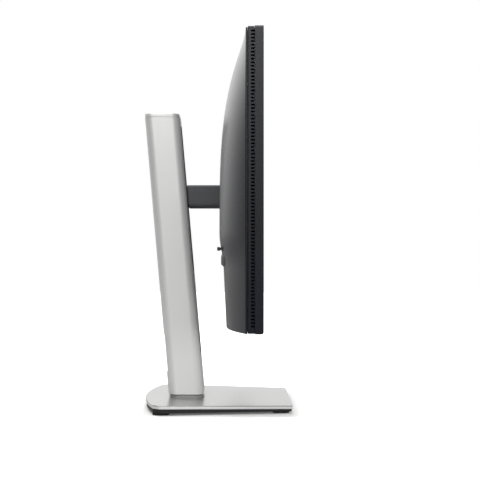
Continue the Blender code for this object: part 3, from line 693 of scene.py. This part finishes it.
def crowned_solid(inset, lower, columns, rows):
    """A closed solid between the cover's front plane and its crowned outside."""
    half, low, high = COVER_HIGH.x - inset, COVER_LOW.z + inset, COVER_HIGH.z - inset
    across = [half * math.sin((i / columns - 0.5) * math.pi) for i in range(columns + 1)]
    up = [low + LOWER_EDGE * (1 - math.cos(math.radians(18 * i))) for i in range(5)]
    low += LOWER_EDGE
    up += [low + (high - low) * math.sin(i / rows * math.pi / 2) for i in range(rows + 1)]
    shape = bmesh.new()
    lines = [[shape.verts.new((x, COVER_SEAM + crown(x, z) - lower, z)) for x in across] for z in up]
    for below, above in zip(lines, lines[1:]):
        for i in range(columns):
            shape.faces.new((below[i], below[i + 1], above[i + 1], above[i]))
    walls = bmesh.ops.extrude_face_region(shape, geom=shape.faces[:])
    for item in walls["geom"]:
        if isinstance(item, bmesh.types.BMVert):
            item.co.y = COVER_LOW.y - lower
    return finished(shape)


def cover_hole(outline_of, floor):
    """A cutter through the cover that leaves a fine chamfer round its opening."""
    return loft([ring(outline_of(0.0), floor), on_cover(outline_of(0.0), -0.0005),
                 on_cover(outline_of(-0.0005), 0.0001), ring(outline_of(-0.0006), 0.004)])


def hole_for(node, gap, radius):
    """outline_of for a hole that fits round a CAD node, seen from behind."""
    low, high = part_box(node)
    middle, half = (low + high) / 2, (high - low) / 2

    def outline(inset):
        grow = gap - inset
        return rounded(half.x + grow, half.z + grow, radius + grow, 8, (middle.x, middle.z))

    return outline


def build_rear_cover():
    def pocket(inset):
        return pocket_outline(inset - POCKET_RIM - SEAM)

    def bay(inset):
        centre = (0.0, BAY_TOP - BAY_HALF_HEIGHT)
        return rounded(BAY_HALF_WIDTH - inset, BAY_HALF_HEIGHT - inset, 0.003, 4, centre)

    joystick = hole_for("joystick_cap", JOYSTICK_GAP, JOYSTICK_RADIUS)
    button = hole_for("power_button", SEAM, BUTTON_RADIUS)
    release = hole_for("release_button", SEAM, RELEASE_CORNER)
    cover = cut(crowned_solid(0.0, 0.0, 150, 120),
                crowned_solid(COVER_WALL, COVER_WALL - 0.0002, 60, 50),
                cover_hole(pocket, -0.060), loft([ring(bay(0.0), -0.060), ring(bay(0.0), 0.020)]),
                cover_hole(joystick, -0.020), cover_hole(button, -0.020), cover_hole(release, -0.020))
    piece("rear_cover_shell", cover, "dark_plastic", "head", "rear_cover")

    # The pocket's tray: a flat back, a soft rim that lies on the cover, and walls down to the floor
    rings = [ring(pocket_outline(-POCKET_RIM), POCKET_FLOOR - 0.0022)]
    rings += [on_cover(pocket_outline(-POCKET_RIM * share), above) for share, above in
              ((1, -0.0006), (0.85, -0.0001), (0.5, 0.0), (0.15, -0.0003), (0, -0.0010))]
    rings += [ring(pocket_outline(inset), POCKET_FLOOR + above) for inset, above in
              ((0.0004, 0.0010), (0.0007, 0.0003), (0.0014, 0.0))]
    latch_low, latch_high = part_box("release_latch")
    gap = Vector((0.0005, 0.0005, 0.0))
    slot = block(latch_low - gap, latch_high + gap + Vector((0, 0, 0.003)))
    piece("stand_pocket", cut(loft(rings), slot), "dark_plastic", "head")


# ---------- hinge


def pan_screw(x, z, depth):
    """A pan head with a cross recess."""
    profile = [(0.0038, depth - 0.0010), (0.0038, depth + 0.0005), (0.0034, depth + 0.0012),
               (0.0024, depth + 0.0016), (0.0008, depth + 0.0018)]
    head = turned(profile, (x, z), sides=32)
    reach, half = 0.0019, 0.0004
    bars = [block((x - reach, depth + 0.0007, z - half), (x + reach, depth + 0.003, z + half)),
            block((x - half, depth + 0.0007, z - reach), (x + half, depth + 0.003, z + reach))]
    return cut(head, joined(*bars))


def build_attach_plate():
    half, back = PLATE_HIGH.x, PLATE_HIGH.y
    centre = (0.0, HEAD_CENTRE_Z)
    sunk = 0.0010

    def outline(inset):
        return rounded(half - inset, half - inset, 0.007 - inset, 8, centre)

    cutters = [turned([(SHAFT_BORE, -0.04), (SHAFT_BORE, 0.0)], centre),
               turned([(WASHER_BORE, -0.04), (WASHER_BORE, -0.0233)], centre)]
    ends = (-MOUNT_HOLE, MOUNT_HOLE)
    corners = [(x, HEAD_CENTRE_Z + z) for x in ends for z in ends]
    for corner in corners:
        cutters.append(turned([(0.0048, back - sunk), (0.0052, back + 0.001)], corner, sides=32))
    groove = loft([ring(circle(radius, 64, centre), back + above) for radius, above in
                   ((0.0445, -0.0006), (0.0452, 0.001), (0.0428, 0.001), (0.0435, -0.0006))], closed=True)
    plate = cut(slab(outline, PLATE_LOW.y, back, edge=SOFT_EDGE), *cutters, groove)
    piece("attach_plate_body", plate, "black_plastic", "head", "attach_plate")
    for number, (x, z) in enumerate(corners):
        piece(f"mount_screw_{number + 1}", pan_screw(x, z, back - sunk), "steel", "head")


def tilt_bore():
    """A cutter for the hole of the tilt shaft."""
    return turned([(TILT_BORE, -0.03), (TILT_BORE, 0.03)], (TILT_Y, HEAD_CENTRE_Z), "X", 32)


def build_tilt_head():
    low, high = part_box("hinge_cover")
    bracket_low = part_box("tilt_bracket")[0]
    centre = (0.0, HEAD_CENTRE_Z)
    front, back = bracket_low.y, low.y - SEAM
    radius = -bracket_low.x
    corner = edge_steps(0.0006)
    profile = [(radius - inset, front + drop) for inset, drop in corner]
    profile += [(radius - inset, back - drop) for inset, drop in reversed(corner)]
    disc = turned(profile, centre, sides=96)
    lugs = []
    for side in (-1, 1):
        reach = 0.006
        profile = [(back - 0.001, -reach), *arc((TILT_Y, 0), reach, -90, 90, 16), (back - 0.001, reach)]
        lug = loft([[(side * x, y, HEAD_CENTRE_Z + z) for y, z in profile] for x in (0.0145, 0.0185)])
        lugs.append(soften(lug, 0.0004))
    bracket = cut(joined(disc, *lugs), tilt_bore())
    piece("tilt_bracket_body", bracket, "zinc", "tilt_head", "tilt_bracket")

    radius = high.x
    dome = [(radius, low.y), (radius, low.y + 0.0022)]
    dome += [(radius - 0.004 * (1 - math.cos(a)), low.y + 0.0022 + 0.0036 * math.sin(a))
             for a in [math.radians(15 * i) for i in range(1, 7)]]
    dome += [(radius - 0.016, high.y - 0.0002), (0.010, high.y)]

    def opening(inset):
        return rounded(0.0190 - inset, 0.0160 - inset, 0.003 - inset, 6, centre)

    hole = loft([ring(opening(0.0), low.y - 0.001), ring(opening(0.0), high.y - 0.0008),
                 ring(opening(-0.0004), high.y - 0.0003), ring(opening(-0.0012), high.y + 0.0002),
                 ring(opening(-0.0012), high.y + 0.001)])
    cover = cut(turned(dome, centre, sides=96), hole)
    piece("hinge_cover_dome", cover, "black_plastic", "tilt_head", "hinge_cover")


def column_front(z):
    return COLUMN_FOOT_Y + LEAN * z - COLUMN_DEPTH / 2


def arm_section(inset):
    """Slightly rounded above, and well rounded below."""
    low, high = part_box("arm")
    half_width, half_height = high.x - inset, (high.z - low.z) / 2 - inset
    upper, lower = 0.002 - inset, 0.005 - inset
    points = arc((half_width - upper, half_height - upper), upper, 0, 90, 5)
    points += arc((upper - half_width, half_height - upper), upper, 90, 180, 5)
    points += arc((lower - half_width, lower - half_height), lower, 180, 270, 8)
    points += arc((half_width - lower, lower - half_height), lower, 270, 360, 8)
    return moved(points, 0.0, HEAD_CENTRE_Z)


def build_arm():
    def at_column(inset, ahead):
        """The arm's section where it meets the column, that far ahead of its leaning face."""
        return [(x, column_front(z) - ahead, z) for x, z in arm_section(inset)]

    rings = [ring(arm_section(inset), ARM_FRONT + drop) for inset, drop in edge_steps(SOFT_EDGE)]
    rings += [at_column(0.0, ARM_COLLAR + FINE_EDGE), at_column(FINE_EDGE, ARM_COLLAR)]
    reach, half = 0.014, 0.0065
    tongue = block((-reach, TILT_Y, HEAD_CENTRE_Z - half), (reach, ARM_FRONT + 0.004, HEAD_CENTRE_Z + half))
    knuckle = turned([(half, -reach), (half, reach)], (TILT_Y, HEAD_CENTRE_Z), "X", 48)
    arm = cut(joined(loft(rings), tongue, knuckle), tilt_bore())
    piece("arm_beam", arm, "grey_plastic", "carriage", "arm")

    # The dark neck goes through the slot to the carriage
    neck = [at_column(NECK_INSET, ARM_COLLAR + 0.0002), at_column(NECK_INSET, -NECK_REACH)]
    piece("arm_neck", loft(neck), "black_plastic", "carriage")


# ---------- column


def leaning(outline, height):
    """An outline round the column's centre line, at a height."""
    return [(x, COLUMN_FOOT_Y + LEAN * height + y, height) for x, y in outline]


def leaning_band(profile, closed=True):
    return loft([leaning(column_outline(inset), height) for inset, height in profile], closed)


def leaning_bar(profile, half_width):
    """A bar from side to side. Its (y, z) profile is measured from the column's centre line."""
    return loft([[(x, COLUMN_FOOT_Y + LEAN * z + y, z) for y, z in profile]
                 for x in (-half_width, half_width)])


def hole_outline(grow):
    """The outline of the oblong cable hole."""
    return rounded(0.016 + grow, 0.018 + grow, 0.0159 + grow, 12, (0.0, CABLE_HOLE_Z))


def slot_outline(grow):
    """The outline of the slot that the arm rides in."""
    half = (SLOT_TOP - SLOT_BOTTOM) / 2
    return rounded(SLOT_HALF_WIDTH + grow, half + grow, SLOT_CORNER + grow, 8, (0.0, SLOT_BOTTOM + half))


def build_column():
    low, high = COLUMN_LOW.z, COLUMN_HIGH.z
    edge = FINE_EDGE
    tube = leaning_band([(edge, low), (0.0, low + edge), (0.0, high - edge), (edge, high),
                         (COLUMN_WALL, high), (COLUMN_WALL, low)])
    slot = loft([ring(slot_outline(0.0), 0.0), ring(slot_outline(0.0), 0.060)])
    hole = loft([ring(hole_outline(SEAM), 0.0), ring(hole_outline(SEAM), 0.120)])
    back, behind = COLUMN_DEPTH / 2, 0.030
    half, front = TRIM_HALF_WIDTH + SEAM, back - TRIM_DEPTH - SEAM
    trim_room = [(half, front), (half, behind), (-half, behind), (-half, front)]
    trim_room = loft([leaning(trim_room, 0.010), leaning(trim_room, RECESS_BOTTOM)])
    sunk = back - RECESS_DEPTH
    recess = leaning_bar([(sunk, RECESS_BOTTOM), (behind, RECESS_BOTTOM), (behind, RECESS_TOP),
                          (back, RECESS_TOP), (sunk, RECESS_TOP - RECESS_SLOPE)], 0.04)
    tube = cut(tube, slot, hole, trim_room, recess)
    piece("column_tube", tube, "satin_aluminium", "column", "column_shell")

    cap_low, cap_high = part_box("column_cap")
    cap = [(CAP_INSET + inset, cap_high.z - drop) for inset, drop in edge_steps(CAP_EDGE, 5)]
    cap += [(CAP_INSET, cap_low.z + edge), (CAP_INSET + edge, cap_low.z)]
    piece("column_cap_plate", leaning_band(cap, closed=False), "satin_aluminium", "column", "column_cap")

    trim_low, trim_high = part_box("rear_trim")
    front, proud = back - TRIM_DEPTH, back + TRIM_PROUD
    trim = leaning_bar([(front, trim_low.z), (proud, trim_low.z), (proud, trim_high.z - 0.0030),
                        (back, trim_high.z), (front, trim_high.z)], TRIM_HALF_WIDTH)
    piece("rear_trim_plate", soften(trim, 0.0002), "satin_aluminium", "column", "rear_trim")

    def lip(grow, back_face, above):
        """The cable ring's outline on the column's front or back face."""
        points = []
        for x, z in hole_outline(grow):
            dip = RECESS_DEPTH * min(max((RECESS_TOP - z) / RECESS_SLOPE, 0.0), 1.0)
            reach = back + above - dip if back_face else -back - above
            points.append((x, COLUMN_FOOT_Y + LEAN * z + reach, z))
        return points

    wall = -0.0015
    rounding = [(0.0, -0.0003), (-0.0001, -0.0001), (-0.0003, 0.0),
                (wall + 0.0006, 0.0), (wall + 0.0002, -0.0002), (wall, -0.0006)]
    rings = [lip(grow, False, above) for grow, above in rounding]
    rings += [lip(grow, True, above) for grow, above in reversed(rounding)]
    piece("cable_ring_liner", loft(rings, closed=True), "black_plastic", "column", "cable_ring")

    rings = [[(x, column_front(z) - above, z) for x, z in slot_outline(grow)] for grow, above in
             ((0.0, -0.0030), (0.0, 0.0002), (-LINER_WALL, 0.0002), (-LINER_WALL, -0.0030))]
    piece("slot_liner", loft(rings, closed=True), "black_plastic", "column")


# ---------- base


def sloped(outline, height):
    """An outline on a plane that rises with the base plate."""
    return [(x, y, height + (y - BASE_LOW.y) * BASE_RISE) for x, y in outline]


def build_base():
    top = BASE_FRONT_TOP
    bottom = top - BASE_THICKNESS
    rings = [sloped(base_outline(inset), top - drop) for inset, drop in edge_steps(BASE_EDGE, 3)]
    rings += [sloped(base_outline(0.0), bottom + FINE_EDGE), sloped(base_outline(FINE_EDGE), bottom)]
    centre = (0.0, SWIVEL_Y)
    hole = turned([(SCREW_BORE, 0.0), (SCREW_BORE, 0.0120)], centre, "Z", 32)
    # The plate's top takes the darker copy of the aluminium: painted shade
    plate = piece("base_plate_body", cut(loft(rings), hole), "satin_aluminium", "base", "base_plate",
                  finish=SHADED_ALUMINIUM)
    # Its sides keep the full satin aluminium, as pale as the column. Its top and top bevel keep the darker
    # copy, painted shade that makes the top read darker than the sides.
    plate.data.materials.append(MATERIALS["satin_aluminium"])
    for face in plate.data.polygons:
        face.material_index = 1 if abs(face.normal.z) < 0.2 else 0

    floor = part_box("base_underlay")[0].z
    rings = [ring(base_outline(TRAY_INSET + FINE_EDGE), floor, "Z"),
             ring(base_outline(TRAY_INSET), floor + FINE_EDGE, "Z"),
             sloped(base_outline(TRAY_INSET), bottom - SEAM)]
    room = turned([(0.0118, 0.0), (0.0118, 0.0125)], centre, "Z", 64)
    piece("base_tray", cut(loft(rings), room), "black_plastic", "base", "base_underlay")

    for corner in ("front_left", "front_right", "rear_left", "rear_right"):
        low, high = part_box("foot_" + corner)
        middle, half = (low + high) / 2, (high - low) / 2

        def outline(inset):
            radius = half.x - 0.0001 - inset
            return rounded(half.x - inset, half.y - inset, radius, 8, (middle.x, middle.y))

        groove = loft([ring(outline(inset), depth, "Z") for inset, depth in
                       ((0.0012, -0.001), (0.0014, 0.0005), (0.0020, 0.0005), (0.0022, -0.001))],
                      closed=True)
        pad = cut(slab(outline, low.z, high.z, "Z", 0.0007), groove)
        piece("foot_pad_" + corner, pad, "rubber", "base", "foot_" + corner)

    low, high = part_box("swivel_plinth")
    plinth_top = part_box("swivel_washer")[0].z - SEAM

    def outline(inset):
        return rounded(high.x - inset, (high.y - low.y) / 2 - inset, PLINTH_CORNER - inset, 12, centre)

    rings = [sloped(outline(0.0), top + 0.0001)]
    rings += [ring(outline(inset), plinth_top - drop, "Z")
              for inset, drop in reversed(edge_steps(FINE_EDGE))]
    pin = turned([(0.006, plinth_top - 0.001), (0.006, high.z - 0.001), (0.005, high.z)], centre, "Z")
    thread = turned([(SCREW_BORE, 0.0), (SCREW_BORE, 0.0220)], centre, "Z", 32)
    plinth = cut(joined(loft(rings), pin), thread)
    # The plinth takes the darker copy of the aluminium too: painted shade, so that it reads as a shadowed
    # gap under the column
    piece("plinth_body", plinth, "satin_aluminium", "base", "swivel_plinth", finish=SHADED_ALUMINIUM)


def build_base_screw():
    low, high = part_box("base_screw")
    centre = (0.0, SWIVEL_Y)

    def outline(inset):
        return moved(ribbed(high.x - inset, 0.0004, 24), *centre)

    shank = [(0.003, SCREW_HEAD_TOP - 0.001), (0.003, high.z - 0.0006), (0.0024, high.z)]
    slot = block((-0.0006, SWIVEL_Y - 0.006, low.z - 0.001), (0.0006, SWIVEL_Y + 0.006, low.z + 0.0008))
    screw = joined(slab(outline, low.z, SCREW_HEAD_TOP, "Z", 0.0004), turned(shank, centre, "Z", 32))
    piece("base_screw_body", cut(screw, slot), "steel", "base_screw", "base_screw")

    low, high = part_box("screw_ring")
    thickness = (high.z - low.z) / 2
    bend = high.x - thickness
    middle_z = low.z + thickness
    half_turn = [Vector((x, y, middle_z)) for x, y in arc(centre, bend, 180, 360, 32)]
    piece("screw_ring_wire", wire(half_turn, thickness), "steel", "screw_ring", "screw_ring")


# ---------- ports and controls


PORT_STYLES = {  # corner radius, wall, tongue half width and half depth, number of contacts
    "mains_inlet": (0.0030, 0.0016, 0.0, 0.0, 0),
    "video_port_a": (0.0010, 0.0007, 0.0055, 0.0006, 9),
    "video_port_b": (0.0012, 0.0007, 0.0060, 0.0006, 10),
    "data_port_square": (0.0014, 0.0008, 0.0028, 0.0016, 2),
    "data_port_flat": (0.0006, 0.0007, 0.0052, 0.0009, 4),
    "audio_jack": (0.0044, 0.0020, 0.0, 0.0, 0),
}


def build_port(node, corner, wall, tongue_width, tongue_depth, contacts):
    """A socket that opens downwards, with its tongue and contacts."""
    low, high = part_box(node)
    middle, half = (low + high) / 2, (high - low) / 2

    def outline(inset):
        return rounded(half.x - inset, half.y - inset, corner - inset, 5, (middle.x, middle.y))

    edge = 0.0002
    rings = [ring(outline(inset), depth, "Z") for inset, depth in
             ((0.0, high.z), (0.0, low.z + edge), (edge, low.z),
              (wall - edge, low.z), (wall, low.z + edge), (wall, high.z - 0.002))]
    slot = "black_plastic" if node == "mains_inlet" else "steel"
    piece(node + "_shell", loft(rings), slot, "head", node)
    if node == "mains_inlet":
        for number, (x, y) in enumerate(((-0.007, 0.0015), (0.0, -0.0025), (0.007, 0.0015))):
            def blade(inset):
                return rounded(0.001 - inset, 0.002 - inset, 0.0003, 3, (middle.x + x, middle.y + y))

            mesh = slab(blade, low.z + 0.003, high.z - 0.0015, "Z")
            piece(f"mains_blade_{number + 1}", mesh, "steel", "head")
    if contacts:
        def tongue(inset):
            return rounded(tongue_width - inset, tongue_depth - inset, 0.0003, 3, (middle.x, middle.y))

        mesh = slab(tongue, low.z + 0.0015, high.z - 0.0015, "Z", edge)
        piece(node + "_tongue", mesh, "black_plastic", "head")
        pitch = 2 * tongue_width / contacts
        reach = Vector((pitch * 0.3, 0.0001, 0.0))
        strips = []
        for number in range(contacts):
            x = middle.x + (number - (contacts - 1) / 2) * pitch
            y = middle.y - tongue_depth
            strips.append(block(Vector((x, y, low.z + 0.0025)) - reach,
                                Vector((x, y, high.z - 0.002)) + reach))
        piece(node + "_contacts", merged(*strips), "steel", "head", finish=GOLD)


def build_controls():
    low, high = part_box("joystick_cap")
    middle = (low + high) / 2
    radius = high.x - middle.x

    def stick(inset):
        return moved(ribbed(radius - inset, 0.00025, 14), middle.x, middle.z)

    profile = [(0.0006, low.y), (0.0006, high.y - 0.0032), (0.0, high.y - 0.0028),
               (0.0, high.y - 0.0005), (0.0003, high.y - 0.0002), (0.0010, high.y)]
    mesh = loft([ring(stick(inset), depth) for inset, depth in profile])
    piece("joystick_stub", mesh, "dark_plastic", "joystick_cap", "joystick_cap")

    low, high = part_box("power_button")
    middle = (low + high) / 2
    face, shoulder = high.y, high.y - 0.0027
    profile = [(BUTTON_RADIUS, low.y), (BUTTON_RADIUS, shoulder - 0.0003),
               (BUTTON_RADIUS - 0.0002, shoulder), (0.0051, face - 0.0003), (0.0048, face),
               (0.0044, face - 0.0001), (0.0036, face - 0.0004), (0.0015, face - 0.0006)]
    mesh = turned(profile, (middle.x, middle.z), sides=64)
    piece("power_button_cap", mesh, "warm_plastic", "power_button", "power_button")

    low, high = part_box("release_button")
    middle, half = (low + high) / 2, (high - low) / 2

    def outline(inset):
        return rounded(half.x - inset, half.z - inset, RELEASE_CORNER - inset, 5, (middle.x, middle.z))

    cap = slab(outline, low.y, high.y, edge=0.0006)
    grooves = [turned([(0.0005, middle.x - 0.008), (0.0005, middle.x + 0.008)],
                      (high.y + 0.0001, middle.z + up), "X", 16) for up in (-0.0024, 0.0, 0.0024)]
    piece("release_button_cap", cut(cap, *grooves), "grey_plastic", "release_button", "release_button")


# ---------- studio


SKY_PATCHES = (  # towards, inner and outer degrees, strength
    ((-1.0, 0.0, 0.45), 10, 32, 1.75),
    ((0.94, 0.28, 0.20), 12, 50, 2.00),
    ((0.9, -0.42, 0.06), 8, 34, 0.4),
    ((0.0, 0.0, -1.0), 180, 0, 0.30),
)
LOW_PATCH = ((0.62, 0.77, -0.05), 12, 48, 0.40)
CONTACT_SHADOW = (0.090, 0.080, 1.0)  # half size of the floor's part that doesn't glow
NEAR_FLOOR_RADIUS = 0.65


def glow(tree, direction, towards, inner, outer, strength):
    """A soft round patch of light in the sky, bright within inner degrees and gone at outer ones."""
    dot = tree.nodes.new("ShaderNodeVectorMath")
    dot.operation = "DOT_PRODUCT"
    tree.links.new(direction, dot.inputs[0])
    dot.inputs[1].default_value = Vector(towards).normalized()
    patch = tree.nodes.new("ShaderNodeMapRange")
    patch.interpolation_type = "SMOOTHSTEP"
    tree.links.new(dot.outputs["Value"], patch.inputs["Value"])
    patch.inputs["From Min"].default_value = math.cos(math.radians(outer))
    patch.inputs["From Max"].default_value = math.cos(math.radians(inner))
    patch.inputs["To Max"].default_value = strength
    return patch.outputs["Result"]


def build_sky():
    """Soft light from large patches. The camera itself sees plain white."""
    world = bpy.data.worlds.new("studio")
    bpy.context.scene.world = world
    world.use_nodes = True
    tree = world.node_tree
    tree.nodes.clear()
    direction = tree.nodes.new("ShaderNodeTexCoord").outputs["Generated"]

    def maths(operation, first, second):
        node = tree.nodes.new("ShaderNodeMath")
        node.operation = operation
        tree.links.new(first, node.inputs[0])
        tree.links.new(second, node.inputs[1])
        return node.outputs[0]

    total = glow(tree, direction, *SKY_PATCHES[0])
    for patch in SKY_PATCHES[1:]:
        total = maths("ADD", total, glow(tree, direction, *patch))

    # These fade below the horizon, and one faint patch behind stays
    height = tree.nodes.new("ShaderNodeSeparateXYZ")
    tree.links.new(direction, height.inputs[0])
    fade = tree.nodes.new("ShaderNodeMapRange")
    fade.interpolation_type = "SMOOTHSTEP"
    tree.links.new(height.outputs["Z"], fade.inputs["Value"])
    for name, value in (("From Min", -0.11), ("From Max", 0.20), ("To Min", 0.03), ("To Max", 1.0)):
        fade.inputs[name].default_value = value
    total = maths("MULTIPLY", total, fade.outputs["Result"])
    total = maths("ADD", total, glow(tree, direction, *LOW_PATCH))
    light = tree.nodes.new("ShaderNodeBackground")
    tree.links.new(total, light.inputs["Strength"])
    white = tree.nodes.new("ShaderNodeBackground")
    white.inputs["Color"].default_value = (1.0, 1.0, 1.0, 1.0)
    choose = tree.nodes.new("ShaderNodeMixShader")
    tree.links.new(tree.nodes.new("ShaderNodeLightPath").outputs["Is Camera Ray"], choose.inputs["Fac"])
    tree.links.new(light.outputs[0], choose.inputs[1])
    tree.links.new(white.outputs[0], choose.inputs[2])
    output = tree.nodes.new("ShaderNodeOutputWorld")
    tree.links.new(choose.outputs[0], output.inputs["Surface"])


def floor_piece(name, mesh, dark, pale, emission):
    """A stage object that glows white by itself. emission(finish) gives its strength."""
    obj = bpy.data.objects.new(name, mesh)
    bpy.context.scene.collection.objects.link(obj)
    finish = Finish(name, 0.9)
    finish.shades(finish.noise(0.5), dark, pale)
    finish.shader.inputs["Emission Color"].default_value = (1.0, 1.0, 1.0, 1.0)
    finish.put(finish.shader.inputs["Emission Strength"], emission(finish))
    mesh.materials.append(finish.material)
    return obj


def far_glow(finish):
    """Faint round the base, and full a short way from it."""
    away = finish.space
    for operation, value in (("ABSOLUTE", None), ("SUBTRACT", CONTACT_SHADOW),
                             ("MAXIMUM", (0.0, 0.0, 0.0)), ("LENGTH", None)):
        node = finish.node("ShaderNodeVectorMath", Vector=away)
        node.operation = operation
        if value:
            node.inputs[1].default_value = value
        away = node.outputs["Value" if operation == "LENGTH" else "Vector"]
    return finish.between(away, 0.10, 1.0, 0.008, 0.044)


def build_floor():
    """A pale floor that glows away from the base, so that only the contact shadow shows on it."""
    corners = ((-3.0, -3.0), (3.0, -3.0), (3.0, 3.0), (-3.0, 3.0))
    mesh = loft([ring(corners, z, "Z") for z in (-0.01, 0.0)])
    floor = floor_piece("floor", mesh, (0.90, 0.90, 0.89), (0.93, 0.93, 0.92), far_glow)
    floor.visible_glossy = False
    floor.visible_diffuse = False

    # Only this near part of the floor lights the object from below and is seen in its reflections
    mesh = loft([ring(circle(NEAR_FLOOR_RADIUS, 96), z, "Z") for z in (-0.006, -0.0005)])
    near = floor_piece("near_floor", mesh, (0.50, 0.50, 0.49), (0.53, 0.53, 0.52), lambda finish: 0.22)


def area_light(name, place, target, size, power, seen_in_gloss=True):
    """A round soft light that faces its target."""
    light = bpy.data.lights.new(name, "AREA")
    light.shape = "DISK"
    light.size = size
    light.energy = power
    obj = bpy.data.objects.new(name, light)
    obj.visible_glossy = seen_in_gloss
    bpy.context.scene.collection.objects.link(obj)
    obj.location = place
    obj.rotation_euler = (Vector(target) - Vector(place)).to_track_quat("-Z", "Y").to_euler()


def build_camera():
    data = bpy.data.cameras.new("camera")
    data.lens = CAMERA_LENS
    data.shift_x = CAMERA_SHIFT_X
    camera = bpy.data.objects.new("camera", data)
    bpy.context.scene.collection.objects.link(camera)
    camera.location = CAMERA_PLACE
    camera.rotation_euler = (math.radians(90), 0.0, math.radians(-90))
    bpy.context.scene.camera = camera


def build_studio():
    build_camera()
    build_sky()
    build_floor()
    area_light("overhead", (0.1, 0.2, 1.9), (0.0, 0.0, 0.2), 1.6, 13.0)
    area_light("side", (-1.3, 0.2, 1.2), (0.0, 0.03, 0.2), 1.0, 12.0)
    area_light("front", (-1.0, -1.3, 0.5), (0.0, 0.03, 0.2), 0.8, 9.0, seen_in_gloss=False)
    bpy.context.scene.view_settings.view_transform = "Standard"


finish_cad_nodes()
build_frames()
build_screen()
build_rear_cover()
build_attach_plate()
build_tilt_head()
build_arm()
build_column()
build_base()
build_base_screw()
for port, style in PORT_STYLES.items():
    build_port(port, *style)
build_controls()
build_studio()
